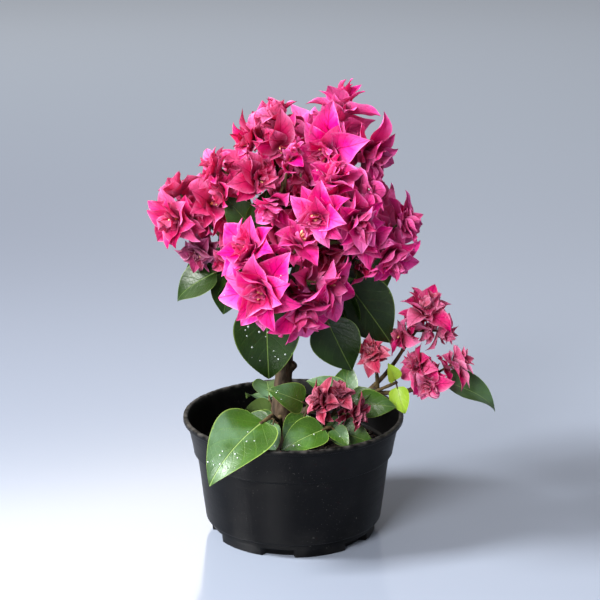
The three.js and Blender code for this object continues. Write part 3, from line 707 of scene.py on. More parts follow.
class Spray:
    def __init__(self, name, bough, start, middle, paint):
        self.name, self.paint = name, paint
        self.foot = limbs[bough].at(start)
        self.middle = np.array(middle, float)
        self.twigs = [(self.foot, self.middle, STEM_RADIUS)]
        self.blooms, self.leaves = [], []


def blossom_spray(name, bough, middle, ring, paint, blooms):
    spray = Spray(name, bough, 1, middle, paint)
    for k, (bearing, rise, size) in enumerate(blooms):
        axis = direction(bearing, rise)
        centre = spray.middle + axis * ring
        fork = spray.foot + (spray.middle - spray.foot) * (FIRST_FORK + FORKS * (k + 1) / len(blooms))
        spray.twigs.append((fork, centre, TWIG_RADIUS))
        bloom = {"centre": centre, "axis": axis, "size": size, "spray": name, "fork": fork}
        spray.blooms.append(bloom | {"site": centre + axis * size * SITE_HEIGHT, "room": size * BLOOM_ROOM})
    return spray


def leaf_blade(spray_name, start, bearing, rise, length, faces, roll, droop=LEAF_DROOP):
    forward = direction(bearing, rise)
    foot = start + forward * length * LEAF_STALK
    shape = {"length": length, "width": length * LEAF_WIDTH, "curl": droop, **LEAF_SHAPE}
    blade = Blade(foot, forward, direction(*faces), math.radians(roll), **shape)
    blade.start, blade.spray = start, spray_name
    return blade


def leaf_spray(name, bough, start, middle, faces, paint, leaves):
    spray = Spray(name, bough, start, middle, paint)
    for bearing, rise, length, place, roll, *droop in leaves:
        stalk_foot = spray.foot + (spray.middle - spray.foot) * min(place, LAST_LEAF)
        spray.leaves.append(leaf_blade(name, stalk_foot, bearing, rise, length, faces, roll, *droop))
    return spray


sprays = [blossom_spray(*row) for row in BLOSSOM] + [leaf_spray(*row) for row in FOLIAGE]
print("sprays:", len(sprays), "- blooms:", sum(len(spray.blooms) for spray in sprays))

# %% [markdown]
# ## Room to grow
#
# On a real bush bracts push each other aside. Here a bract that would run into another bloom, a twig,
# a leaf or the pot closes a little, grows a little shorter and tries again. Limbs and twigs are tested
# as strings of balls, which costs little for thousands of tests.

# %% Name the pot's sizes
POT_HEIGHT = 84
RIM_RADIUS = 76.5
LIP_WIDTH = 2.2
COLLAR_DEPTH = 25
COLLAR_FOOT_RADIUS = 69.4
BODY_TOP_RADIUS = 67.4
BODY_FOOT_RADIUS = 61.6
FOOT_BAND = 10
WALL = 1.5


def inner_radius(height):
    """The pot's inside radius. `height` may be an array."""
    foot = POT_HEIGHT - COLLAR_DEPTH
    up_collar, up_body = (height - foot) / COLLAR_DEPTH, (height - FOOT_BAND) / (foot - FOOT_BAND)
    collar = COLLAR_FOOT_RADIUS + up_collar * (RIM_RADIUS - LIP_WIDTH - COLLAR_FOOT_RADIUS) - WALL
    body = BODY_FOOT_RADIUS + up_body * (BODY_TOP_RADIUS - BODY_FOOT_RADIUS) - WALL
    return np.where(height > foot, collar, body)


print("pot's inside radius at the soil:", round(float(inner_radius(SOIL_LEVEL)), 1))

# %% Test for room
BERTH = 2.2
POT_BERTH = 1.0
LIP_BERTH = 1.2
BALLS = 21


def in_pot(points):
    """Which points are too near the pot or its soil."""
    out, height = np.hypot(points[:, 0], points[:, 1]), points[:, 2]
    clear = (height > POT_HEIGHT + POT_BERTH) | (out > RIM_RADIUS + LIP_BERTH)
    in_wall = out > inner_radius(np.minimum(height, POT_HEIGHT)) - POT_BERTH
    return ~clear & ((height < SOIL_LEVEL + POT_BERTH) | in_wall)


def strings_of_balls():
    """All limbs and twigs as balls: whose each is, its middle and its radius."""
    share = np.linspace(0, 1, BALLS)
    owners, places, radii = [], [], []
    for limb in limbs.values():
        owners += [limb.name] * len(share)
        places.append(limb.at(share))
        radii.append(limb.radius(share))
    for spray in sprays:
        for start, end, radius in spray.twigs:
            owners += [spray.name] * len(share[::2])
            places.append(start + (end - start) * share[::2, None])
            radii.append(np.full(len(share[::2]), radius))
    return np.array(owners), np.concatenate(places), np.concatenate(radii)


ball_owners, ball_places, ball_radii = strings_of_balls()
kept_leaves = []


def has_room(blade, spray_name):
    """Clear of the pot, of limbs, of other sprays' twigs and of other sprays' leaves."""
    samples = blade.samples
    foreign = ball_owners != spray_name
    if in_pot(samples).any() or blade.meets(ball_places[foreign], ball_radii[foreign] + BERTH).any():
        return False
    for leaf in kept_leaves:
        apart = np.linalg.norm(leaf.foot - blade.foot) > leaf.length + blade.length + BERTH * 4
        if apart or leaf.spray == spray_name:
            continue
        if blade.meets(leaf.samples, BERTH).any() or leaf.meets(samples, BERTH).any():
            return False
    return True


for spray in sprays:
    spray.leaves = [leaf for leaf in spray.leaves if has_room(leaf, spray.name)]
    kept_leaves += spray.leaves
print("leaves with room:", len(kept_leaves))

# %% [markdown]
# A bloom may not grow into its neighbour. Each is given a cell of its own: the points that are nearer
# to it than to any other, where a large bloom counts as nearer than a small one. Blooms of one spray
# may overlap a little.

# %% Keep each bloom to its own cell
CELL_MARGIN = 10
SIBLING_SLACK = 220

all_blooms = [bloom for spray in sprays for bloom in spray.blooms]
sites = np.array([bloom["site"] for bloom in all_blooms])
site_rooms = np.array([bloom["room"] for bloom in all_blooms]) ** 2
site_sprays = np.array([bloom["spray"] for bloom in all_blooms])


def nearness(bloom, points):
    """How much nearer each point is to its own bloom than to any other."""
    power = ((points[:, None] - sites) ** 2).sum(axis=2) - site_rooms
    own = next(i for i, other in enumerate(all_blooms) if other is bloom)
    others = power + np.where(site_sprays == bloom["spray"], SIBLING_SLACK, 0)
    others[:, own] = np.inf
    return others.min(axis=1) - power[:, own]


def in_own_cell(blade, bloom):
    return (nearness(bloom, blade.samples) > CELL_MARGIN).all()


print("cells for blooms:", len(all_blooms))

# %% [markdown]
# A ring of bracts is a count, a length and a width, the angle that it opens by, how much its bracts
# curl, and its height on the bloom's axis. Lengths are shares of the bloom's size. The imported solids
# hold two rings, listed here from the outside in.

# %% Set a bloom's bracts
PACKED_RINGS = [
    {"count": 5, "length": 1, "width": 0.58, "opens": 72, "curl": 0.5, "height": 0},
    {"count": 3, "length": 0.74, "width": 0.6, "opens": 38, "curl": 0.25, "height": 0.12},
]
BRACT_SHAPE = {"fold": 0.2, "bulge": 0.78, "point": 1.15}
BRACT_CHANCE = {"round": 10, "opens": 18, "length": 0.16, "roll": 0.4}
CLOSING_TRIES, CLOSING_STEP, SHORTENING = 5, 10, 0.9


def bracts_of(bloom, rings, draw, start, fits=in_own_cell):
    """The bracts of one bloom that have room, ring by ring."""
    blades = []
    for r, ring in enumerate(rings):
        stray = ring.get("stray", 1)
        foot = bloom["centre"] + bloom["axis"] * bloom["size"] * ring["height"]
        foot = foot + (bloom["fork"] - bloom["centre"]) * ring.get("back", 0)
        for k in range(ring["count"]):
            turn = start + (k + r / 2) * 360 / ring["count"]
            turn += (draw() - 0.5) * BRACT_CHANCE["round"] * stray
            opens = ring["opens"] + (draw() - 0.5) * BRACT_CHANCE["opens"] * stray
            full_length = bloom["size"] * ring["length"]
            full_length *= 1 + (draw() - 0.5) * BRACT_CHANCE["length"] * stray
            roll = (draw() - 0.5) * BRACT_CHANCE["roll"] * stray
            for tries in range(CLOSING_TRIES):
                length = full_length * SHORTENING ** tries
                leaning = math.radians(opens - tries * CLOSING_STEP)
                forward = tilted(bloom["axis"], leaning, math.radians(turn))
                shape = {"length": length, "width": length * ring["width"], "curl": ring["curl"]}
                shape |= BRACT_SHAPE
                blade = Blade(foot, forward, bloom["axis"], roll, **shape, ring=ring.get("mark", r))
                if fits(blade, bloom) and has_room(blade, bloom["spray"]):
                    blades.append(blade)
                    break
    return blades


print("bracts in a packed bloom, at most:", sum(ring["count"] for ring in PACKED_RINGS))

# %% [markdown]
# ## Blossom, fuller
#
# What looks like a flower is a double bloom: rings of coloured leaves, called bracts, that close
# towards the middle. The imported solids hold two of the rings. Here the rest of the rings are added in
# the same way: one between the two, two more that curl inwards over the heart, and two loose whorls on
# the twig behind. Chance moves each a little, and none leaves the room that its bloom has. A painted
# flower would be quicker, but a bract has to shade the next one.
#
# `back` moves a ring back along the bloom's twig, `mark` tells the paint how near the heart it is, and
# `stray` is how far chance may move it.

# %% Grow the bracts
MORE_RINGS = [
    {"count": 5, "length": 0.86, "width": 0.6, "opens": 54, "curl": 0.4, "height": 0.05, "mark": 0.5,
     "stray": 2},
    {"count": 4, "length": 0.58, "width": 0.56, "opens": 28, "curl": -0.2, "height": 0.14, "mark": 1.6,
     "stray": 2.4},
    {"count": 4, "length": 0.38, "width": 0.6, "opens": 14, "curl": -0.5, "height": 0.18, "mark": 2.2,
     "stray": 2},
    {"count": 4, "length": 0.7, "width": 0.6, "opens": 84, "curl": 0.5, "height": 0, "back": 0.3,
     "mark": 0.3, "stray": 2},
    {"count": 4, "length": 0.58, "width": 0.6, "opens": 72, "curl": 0.4, "height": 0, "back": 0.62,
     "mark": 0.9, "stray": 2},
]
FIRST_SEED = 11
SPRAY_SEED_STEP, BLOOM_SEED_STEP = 1000, 37

orders = {spray.name: order for order, spray in enumerate(sprays)}
for spray in sprays:
    for k, bloom in enumerate(spray.blooms):
        bloom["seed"] = orders[spray.name] * SPRAY_SEED_STEP + k * BLOOM_SEED_STEP + FIRST_SEED
        draw = chance(bloom["seed"])
        bloom["start"] = draw() * 360
        bloom["bracts"] = bracts_of(bloom, PACKED_RINGS, draw, bloom["start"])
print("bracts as packed:", sum(len(bloom["bracts"]) for bloom in all_blooms))

# %% [markdown]
# Deep in the crown there are more leaves and half-open blooms, which fill it with shade. They stand
# on the boughs' sides, and what would run into a bract, a leaf or wood is left out. The leaves keep
# to the foot and the back of the crown and to the low boughs, and the blooms to the crown's heart.

# %% Keep clear of the bracts
BRACT_BERTH = 1.2


def clear_of_bracts(blade, bloom=None):
    """Whether a blade runs into no bract so far. It takes a bloom only to serve `bracts_of`."""
    near = np.linalg.norm(bract_feet - blade.foot, axis=1) < bract_reaches + blade.length
    for i in np.flatnonzero(near):
        other = grown_bracts[i]
        if other.meets(blade.samples, BRACT_BERTH).any() or blade.meets(other.samples, BRACT_BERTH).any():
            return False
    return True


def list_bracts():
    """All bracts so far, their feet and their lengths."""
    bracts = [bract for bloom in all_blooms for bract in bloom["bracts"]]
    return bracts, np.array([bract.foot for bract in bracts]), np.array([bract.length for bract in bracts])


# %% Grow the leaves inside
INNER_LEAF_SHARES = (0.3, 0.45, 0.6, 0.75, 0.9)
SHORTEST_INNER_LEAF, LONGEST_INNER_LEAF = 17, 29
INNER_LEAF_FACES = 40
INNER_LEAF_SEED = 77
CROWN_FOOT, CROWN_SHADE, CROWN_BACK = 172, 205, 8
LOW_BOUGHS = ("bough_low_front", "bough_low_left", "bough_low_back")


def inner_leaves():
    """The small leaves that have room, inside the crown and on the low boughs."""
    draw = chance(INNER_LEAF_SEED)
    leaves, low_leaves = [], []
    for limb in limbs.values():
        for share in INNER_LEAF_SHARES:
            foot = limb.at(share)
            outwards = math.degrees(math.atan2(foot[1] - TRUNK[1][1], foot[0]))
            for turn in (-1, 1):
                bearing = outwards + turn * (25 + draw() * 60)
                rise, roll, size = draw() * 75 - 45, draw() * 50 - 25, draw()
                length = SHORTEST_INNER_LEAF + size * (LONGEST_INNER_LEAF - SHORTEST_INNER_LEAF)
                faces = (outwards, INNER_LEAF_FACES)
                leaf = leaf_blade(limb.name, foot, bearing, rise, length, faces, roll)
                shaded = foot[2] > CROWN_FOOT and (foot[2] < CROWN_SHADE or foot[1] > CROWN_BACK)
                low = limb.name in LOW_BOUGHS
                if (shaded or low) and has_room(leaf, limb.name) and clear_of_bracts(leaf):
                    kept_leaves.append(leaf)
                    (low_leaves if low else leaves).append(leaf)
    return leaves, low_leaves


grown_bracts, bract_feet, bract_reaches = list_bracts()
inside_leaves, low_leaves = inner_leaves()
print("small leaves inside the crown:", len(inside_leaves), "and on the low boughs:", len(low_leaves))

# %% Add the further rings to the blooms
MORE_SEED = 500
HALF_A_BRACT = 36
# A bloom that looks up opens less, so that it shows its side and not its inside.
UPRIGHT_RISE, UPRIGHT_OPENS, UPRIGHT_LENGTH, LONGEST_UPRIGHT = 0.85, 0.5, 1.1, 0.8


def upright(ring):
    length = min(ring["length"] * UPRIGHT_LENGTH, LONGEST_UPRIGHT)
    return ring | {"opens": ring["opens"] * UPRIGHT_OPENS, "length": length}


for bloom in all_blooms:
    draw = chance(bloom["seed"] + MORE_SEED)
    looks_up = bloom["axis"][2] > UPRIGHT_RISE
    rings = [upright(ring) if looks_up else ring for ring in MORE_RINGS]
    bloom["bracts"] += bracts_of(bloom, rings, draw, bloom["start"] + HALF_A_BRACT)
grown_bracts, bract_feet, bract_reaches = list_bracts()
print("bracts with the further rings:", len(grown_bracts))

# %% Grow the half-open blooms inside
SIDE_BLOOM_SHARES = (0.35, 0.5, 0.65, 0.8, 0.95)
SIDE_BLOOM_FOOT = 188
SIDE_BLOOM_SEED = 401
SIDE_RINGS = [
    {"count": 5, "length": 1, "width": 0.62, "opens": 66, "curl": 0.5, "height": 0, "mark": 1},
    {"count": 4, "length": 0.72, "width": 0.62, "opens": 34, "curl": 0.1, "height": 0.1, "mark": 1.5},
]


def side_blooms():
    """Small blooms on the boughs' sides that look to the front, where they have room."""
    draw = chance(SIDE_BLOOM_SEED)
    blooms = []
    for limb in limbs.values():
        for share in SIDE_BLOOM_SHARES:
            for side in (-1, 1):
                foot = limb.at(share)
                bearing, rise = -90 + side * (20 + draw() * 60), draw() * 70 - 15
                size = 14 + draw() * 9
                axis = direction(bearing, rise)
                bloom = {"centre": foot + axis * size * 0.5, "axis": axis, "size": size,
                         "spray": limb.name, "fork": foot}
                if foot[2] > SIDE_BLOOM_FOOT:
                    bloom["bracts"] = bracts_of(bloom, SIDE_RINGS, draw, draw() * 360, clear_of_bracts)
                    blooms.append(bloom)
    return [bloom for bloom in blooms if len(bloom["bracts"]) > 1]


inside_blooms = side_blooms()
print("bracts in all:", sum(len(bloom["bracts"]) for bloom in all_blooms + inside_blooms))
print("half-open blooms inside the crown:", len(inside_blooms))


# %% [markdown]
# ## From blade to mesh
#
# A real bract is thin as paper. It is folded a little along its midrib, its edges wave and its tip
# bends back. The plain blade gives the length, width, fold and bend, and chance gives each copy its
# own twist and waves. Modifiers could bend a card the same way, but each copy would need its own. So
# the whole grid is worked out at once for all blades of a piece.

# %% Say how each kind of blade differs from a plain one
# Widths, folds and waves are shares of the blade's length or width; neck and thickness are millimetres.
BRACT_FORM = {"bulge": 0.7, "point": 0.86, "draw": 0.5, "width": 1.12, "neck": 0.5, "fold": 0.26,
              "recurve": 0.42, "ripples": 1.7, "wave": 0.055, "ribs": 3, "pucker": 0.012, "cup": 0.07,
              "thickness": 0.3, "twist": 0.8}
HEART_FORM = BRACT_FORM | {"width": 0.98, "fold": 0.4, "recurve": 0.7, "wave": 0.08, "cup": 0.16,
                           "twist": 1.1}
LEAF_FORM = {"bulge": 0.62, "point": 0.76, "draw": 0.5, "width": 0.98, "neck": 0.7, "fold": 0.2,
             "recurve": 0.4, "ripples": 1.3, "wave": 0.016, "ribs": 5, "pucker": 0.006, "cup": 0.02,
             "thickness": 0.45, "twist": 0.25}
SLIM_LEAF_FORM = LEAF_FORM | {"width": 0.84, "fold": 0.3, "draw": 0.58}
LEAF_FORMS = {"deep": LEAF_FORM, "fresh": SLIM_LEAF_FORM, "young": SLIM_LEAF_FORM}
print("forms of leaves:", len(LEAF_FORMS))


# %% Bend the midribs
def bent_midribs(template, curl, recurve, length):
    """How far each point of each midrib is bent, how far it has run forward and how far it dropped."""
    rows, row = np.unique(template.along, return_inverse=True)
    bend = curl * rows + recurve * rows ** 4
    middles = (bend[:, 1:] + bend[:, :-1]) / 2
    start = np.zeros((len(length), 1))
    run, drop = (np.hstack([start, np.cumsum(turn(middles) * np.diff(rows), axis=1)])[:, row] * length
                 for turn in (np.cos, np.sin))
    return bend[:, row], run, drop


# %% Ripple the sheets
THINNEST = 0.12


def half_widths(template, form, width):
    along = template.along
    swell = np.maximum(np.sin(np.pi * along ** form["bulge"]), 0) ** form["point"]
    swell = swell * (1 - form["draw"] * along ** 5)
    return width / 2 * form["width"] * swell + form["neck"] * (1 - along) ** 3 + THINNEST


def lifts(template, form, length, out, phases, cupping):
    """How far each point stands above the blade's plane: fold, waves, ribs, cup and thickness."""
    along, across, arch = template.along, template.across, np.sin(np.pi * template.along)
    phase = np.where(across > 0, phases[:, :1], phases[:, 1:2])
    waves = np.sin(2 * np.pi * form["ripples"] * along + phase) * across ** 2 * arch
    ribs = np.cos(2 * np.pi * form["ribs"] * (along - 0.4 * abs(across))) * (1 - across ** 2) * abs(across)
    lift = abs(out) * form["fold"] * (0.35 + 0.65 * abs(across)) + form["wave"] * length * waves
    lift = lift + form["pucker"] * length * ribs * arch
    lift = lift + form["cup"] * length * across ** 2 * arch * (1 + cupping) / 2
    return lift + template.upper * form["thickness"] / 2 * (1 - across ** 2) * arch ** 0.5


# %% Bend a template into blades
def blade_points(template, blades, seed, form):
    """Points of all blades, copies x points x 3."""
    chances = np.random.default_rng(seed)
    vectors = {name: np.array([getattr(blade, name) for blade in blades])
               for name in ("foot", "forward", "normal", "side")}
    length, width, curl = (np.array([[getattr(blade, name)] for blade in blades])
                           for name in ("length", "width", "curl"))
    shy = chances.uniform(-1, 1, (len(blades), 4))
    phases = chances.uniform(0, 2 * np.pi, (len(blades), 3))
    bend, run, drop = bent_midribs(template, curl, form["recurve"] * (1 + shy[:, :1]), length)
    out = half_widths(template, form, width) * template.across
    lift = lifts(template, form, length, out, phases, shy[:, 1:2])
    twist = form["twist"] * shy[:, 2:3] * template.along
    side, normal, forward = (vectors[name][:, None] for name in ("side", "normal", "forward"))
    outwards = normal * np.cos(bend)[..., None] + forward * np.sin(bend)[..., None]
    beside = side * np.cos(twist)[..., None] + outwards * np.sin(twist)[..., None]
    above = outwards * np.cos(twist)[..., None] - side * np.sin(twist)[..., None]
    middle = vectors["foot"][:, None] + forward * run[..., None] - normal * drop[..., None]
    return middle + beside * out[..., None] + above * lift[..., None]


# %% Bend a template into tubes
STEEP_TUBE = 0.9


def tube_points(sides, lines, radii):
    """Points of tubes along `lines` (copies x rings + 1 x 3), each ring with its radius."""
    tangents = np.gradient(lines, axis=1)
    tangents /= np.linalg.norm(tangents, axis=2, keepdims=True)
    spans = lines[:, -1] - lines[:, 0]
    steep = abs(spans[:, 2]) > STEEP_TUBE * np.linalg.norm(spans, axis=1)
    hints = np.where(steep[:, None], AHEAD, UP)[:, None]
    across = np.cross(tangents, hints)
    across /= np.linalg.norm(across, axis=2, keepdims=True)
    over = np.cross(across, tangents)
    turn = np.arange(sides) * 2 * np.pi / sides
    spokes = (across[:, :, None] * np.cos(turn)[:, None] - over[:, :, None] * np.sin(turn)[:, None])
    radii = np.broadcast_to(radii[..., None] if radii.ndim == 2 else radii, spokes.shape[:3])
    points = (lines[:, :, None] + spokes * radii[..., None]).reshape(len(lines), -1, 3)
    return np.concatenate([points, lines[:, :1], lines[:, -1:]], axis=1)


# %% [markdown]
# ## Paint for the blossom
#
# A bougainvillea bract is never one flat colour. It is deeper along its net of fine veins, paler on its
# waving edges and under it, and light comes through it. The foot of each bract carries painted shade
# from the bloom's heart, and paler patches towards its tip and edges are painted highlights. Older
# sprays fade to a dusky rose, and the youngest open in red. Each spray here is of one such paint, and
# each bract of it a little lighter or darker than its neighbour. The veins could be a painted picture;
# arithmetic on the blade's own two numbers needs no picture and stays sharp close up.

# %% Find the way on a blade
def blade_wires(finish):
    """How far along the blade a point lies, and how far it is from the midrib, both 0 to 1."""
    spot = finish.node("ShaderNodeUVMap", {"uv_map": "blade"})
    x, along = (finish.node("ShaderNodeSeparateXYZ", {}, [spot], output=axis) for axis in "XY")
    return along, (x * 2 - 1).math("ABSOLUTE")


def vein_wires(finish, along, across, pairs, net_scale, rib=0.05):
    """Midrib, side veins and net, each 1 on the vein."""
    swell = ((along ** 0.75) * math.pi).math("SINE")
    midrib = (across * swell).step(rib, rib * 0.2)
    march = ((along - across * 0.34 + finish.mark("tint") * 0.1) * pairs).math("FRACT")
    side = (march - 0.5).math("ABSOLUTE").step(0.09, 0.0) * across.step(0.98, 0.7)
    net = finish.cells(net_scale).step(0.1, 0.0)
    return midrib, side, net


# %% Make the bract finishes
def bract_finish(name, body, light, deep, heart):
    """A spray's paint: `body`, `light` at the margins and in painted highlights, `deep` at the veins and as
    painted shade at the foot, `heart` inside.
    """
    finish = Finish(name)
    along, across = blade_wires(finish)
    tint, ring = finish.mark("tint"), finish.mark("ring")
    midrib, side, net = vein_wires(finish, along, across, 6, 430)
    patches = finish.noise(60, 3).step(0.36, 0.66)
    # Some bracts and noisy patches are lighter: partly the bracts' own varying tone, partly painted sheen.
    colour = finish.mix((tint.step(0.55, 1.0) * 0.3 + patches * 0.12).held(), rgb(body), rgb(light))
    colour = finish.mix(ring.step(0.7, 2.2) * 0.85, colour, rgb(heart))
    # Painted shade: the foot of each bract, deep in the bloom's heart, is painted towards `deep`; some
    # bracts are also darker at random.
    foot_shade_and_tone = along.step(0.55, 0.04) * 0.85 + tint.step(0.3, 0.0) * 0.25
    colour = finish.mix(foot_shade_and_tone.held(), colour, rgb(deep))
    colour = finish.mix((midrib * 0.35 + side * 0.15 + net * 0.1).held(), colour, rgb(deep))
    # Painted highlights: patches towards the tip and edges are painted paler, together with the bracts' own
    # pale margins.
    pale_and_painted_highlight = (across.step(0.25, 1.0) + along.step(0.5, 1.0)) * (patches * 0.5 + tint * 0.3)
    colour = finish.mix((pale_and_painted_highlight * 0.5 + across.step(0.86, 1.0) * 0.32).held(), colour, rgb(light))
    colour = finish.mix(finish.mark("under") * 0.2, colour, rgb(light))
    crinkle = finish.noise(210, 4)
    height = crinkle * 0.55 - midrib * 0.7 - side * 0.45 - net * 0.2
    roughness = 0.46 + crinkle * 0.16
    through = (0.34, rgb(body))
    return finish.finish(colour, roughness, height, 0.0006, through, Specular_IOR_Level=0.08)


PAINTS = {
    "rose": bract_finish("rose_bract", "#f20894", "#ff9ee4", "#820028", "#ca063c"),
    "cherry": bract_finish("cherry_bract", "#e20a70", "#ff9cd6", "#7c0022", "#c40c34"),
    "dusk": bract_finish("dusk_bract", "#b83874", "#e0a0c6", "#600a2c", "#8a1a2c"),
    "claret": bract_finish("claret_bract", "#f00e84", "#ffbee4", "#840018", "#c01e1a"),
    "crimson": bract_finish("crimson_bract", "#a01236", "#ea98b4", "#58000e", "#7c0a14"),
    "rust": bract_finish("rust_bract", "#d02c5a", "#fab6ce", "#7a0a1a", "#ac3018"),
}
print("bract paints:", sorted(PAINTS))

# %% Build each spray's bracts
HEART_MARK = 1.2
OUTER_BRACT = blade_template(12, 8)
INNER_BRACT = blade_template(8, 6)
blossom_seeds = np.random.default_rng(5)


def build_blossom(name, blooms, paint, seed, *nodes):
    growth = Growth()
    bracts = [bract for bloom in blooms for bract in bloom["bracts"]]
    outer = [bract for bract in bracts if bract.marks["ring"] < HEART_MARK]
    heart = [bract for bract in bracts if bract.marks["ring"] >= HEART_MARK]
    for template, chosen, form in ((OUTER_BRACT, outer, BRACT_FORM), (INNER_BRACT, heart, HEART_FORM)):
        if chosen:
            points = blade_points(template, chosen, seed, form)
            tint = blossom_seeds.uniform(0, 1, len(chosen))
            growth.add(template, points, tint=tint, ring=[bract.marks["ring"] for bract in chosen])
    return growth.make(name, PAINTS[paint], "pink_bracts", *nodes)


blossom_pieces = [
    build_blossom(spray.name + "_bracts", spray.blooms, spray.paint, orders[spray.name] + 40, spray.name)
    for spray in sprays if spray.blooms]
blossom_pieces.append(build_blossom("inner_bracts", inside_blooms, "cherry", 99))
print("faces of blossom:", sum(len(piece.data.polygons) for piece in blossom_pieces))


# %% [markdown]
# ## True flowers
#
# The plant's own flowers are the small slender tubes that stand among the bracts. Most are still
# closed and look like clubs with paler tips. A turned profile along a bent line gives such a club, as
# a curve object with a bevel would, and all of them are one mesh.

# %% Make the flowers' finish
def flower_finish():
    finish = Finish("flower_tube")
    spot = finish.node("ShaderNodeUVMap", {"uv_map": "blade"})
    along = finish.node("ShaderNodeSeparateXYZ", {}, [spot], output="Y")
    tint = finish.mark("tint")
    body = finish.mix(tint, rgb("#a8402c"), rgb("#cf6a4c"))
    colour = finish.mix(along.step(0.55, 1.0), body, rgb("#f2c096"))
    return finish.finish(colour, 0.55 + finish.noise(400) * 0.1, finish.noise(900), 0.0003)


# %% Set the flower tubes in the blooms
FLOWERS_PER_BLOOM = 5
FLOWER_RINGS, FLOWER_SIDES = 8, 8
FLOWER_PROFILE = np.array([0.4, 0.62, 0.8, 0.78, 0.66, 0.72, 0.95, 0.9, 0.35])
FLOWER_LEAN, FLOWER_LENGTH, FLOWER_SAG = (4, 26), (0.26, 0.4), (-0.12, 0.12)
FLOWER_FOOT, FLOWER_THICKNESS = 0.06, 0.036


def build_flowers():
    """One mesh of all the true flowers. Lengths are shares of the bloom's size."""
    chances = np.random.default_rng(8)
    share = np.linspace(0, 1, FLOWER_RINGS + 1)
    lines, radii = [], []
    for bloom in all_blooms:
        for _ in range(FLOWERS_PER_BLOOM):
            lean, turn = math.radians(chances.uniform(*FLOWER_LEAN)), chances.uniform(0, 2 * np.pi)
            way = tilted(bloom["axis"], lean, turn)
            length = bloom["size"] * chances.uniform(*FLOWER_LENGTH)
            foot = bloom["centre"] + bloom["axis"] * bloom["size"] * FLOWER_FOOT
            sag = crosswise(way)[0] * chances.uniform(*FLOWER_SAG) * length
            lines.append(foot + way * (share * length)[:, None] + sag * (share ** 2)[:, None])
            radii.append(FLOWER_PROFILE * bloom["size"] * FLOWER_THICKNESS)
    growth = Growth()
    points = tube_points(FLOWER_SIDES, np.array(lines), np.array(radii))
    growth.add(tube_template(FLOWER_RINGS, FLOWER_SIDES), points, tint=chances.uniform(0, 1, len(lines)))
    growth.make("flower_tubes", flower_finish(), "pink_bracts")
    return len(lines)


print("flower tubes:", build_flowers())


# %% [markdown]
# ## Leaves
#
# The leaves are thick, dark and waxy, heart shaped with a drawn-out tip. The midrib is a pale furrow,
# the side veins are shallow ones, and a thin yellow line runs round the margin. A leaf could be one
# flat card with a picture of a leaf on it, but from the side a card is a line. These are closed
# blades of two sheets, green above and paler below.

# %% Make the leaf finishes
def leaf_finish(name, dark, body, light, vein, margin, under, sheen, gloss, shine):
    """A leaf's wax. `sheen` is a painted reflection of the sky on it, `gloss` its roughness and `shine` how
    much it mirrors.
    """
    finish = Finish(name)
    along, across = blade_wires(finish)
    tint = finish.mark("tint")
    midrib, side, net = vein_wires(finish, along, across, 6, 330, 0.03)
    patches = finish.noise(38, 4).step(0.3, 0.75)
    colour = finish.mix((tint * 0.5 + patches * 0.5).held(), rgb(dark), rgb(body))
    # Painted reflection: patches of the sky's `sheen` painted into the green.
    colour = finish.mix(finish.noise(26, 3).step(0.45, 0.7) * 0.45, colour, rgb(sheen))
    colour = finish.mix((side * 0.09 + net * 0.06).held(), colour, rgb(light))
    colour = finish.mix(midrib * 0.45, colour, rgb(vein))
    colour = finish.mix(across.step(0.95, 1.0) * 0.55, colour, rgb(margin))
    colour = finish.mix(finish.mark("under") * 0.75, colour, rgb(under))
    skin = finish.noise(520, 2)
    height = skin * 0.12 - midrib * 0.7 - side * 0.16 - net * 0.08
    roughness = finish.noise(70, 2) * 0.14 + gloss + finish.mark("under") * 0.25
    through = (0.1, rgb(light))
    return finish.finish(colour, roughness, height, 0.0006, through, Specular_IOR_Level=shine)


GREENS = {
    "deep": leaf_finish("deep_leaf", dark="#0a1802", body="#1e3409", light="#3a5616", vein="#7f9c50",
                        margin="#7a9442", under="#4c6b30", sheen="#2c481c", gloss=0.3, shine=0.26),
    "fresh": leaf_finish("fresh_leaf", dark="#162e08", body="#3c611a", light="#7ba038", vein="#a9c670",
                         margin="#aecb5e", under="#7a9a4e", sheen="#7fa386", gloss=0.32, shine=0.5),
    "young": leaf_finish("young_leaf", dark="#759f20", body="#9fc230", light="#bcd84e", vein="#d8e88a",
                         margin="#d4e070", under="#a9c24c", sheen="#b4cc5c", gloss=0.3, shine=0.5),
}
print("leaf greens:", sorted(GREENS))

# %% Build each spray's leaves
LARGE_LEAF = blade_template(24, 14)
SMALL_LEAF = blade_template(14, 8)


def build_leaves(name, leaves, paint, template, seed, slot, *nodes):
    growth = Growth()
    tint = np.random.default_rng(seed).uniform(0, 1, len(leaves))
    growth.add(template, blade_points(template, leaves, seed, LEAF_FORMS[paint]), tint=tint)
    return growth.make(name, GREENS[paint], slot, *nodes)


for spray in sprays:
    if spray.leaves:
        slot = "young_leaves" if spray.paint == "young" else "glossy_leaves"
        seed = orders[spray.name] + 90
        build_leaves(spray.name + "_blades", spray.leaves, spray.paint, LARGE_LEAF, seed, slot, spray.name)
build_leaves("inner_leaves", inside_leaves, "deep", SMALL_LEAF, 3, "glossy_leaves")
build_leaves("low_inner_leaves", low_leaves, "fresh", SMALL_LEAF, 5, "glossy_leaves")
print("leaves:", len(kept_leaves))


# %% [markdown]
# ## Twigs and wood
#
# Twigs bow a little on their way and are green-brown. The trunk is older: its bark is split by
# shallow upright cracks, and rings show where leaves once stood. The cracks and rings are carved into
# the mesh, because they show on the trunk's outline, and a finer grain is left to the finish.

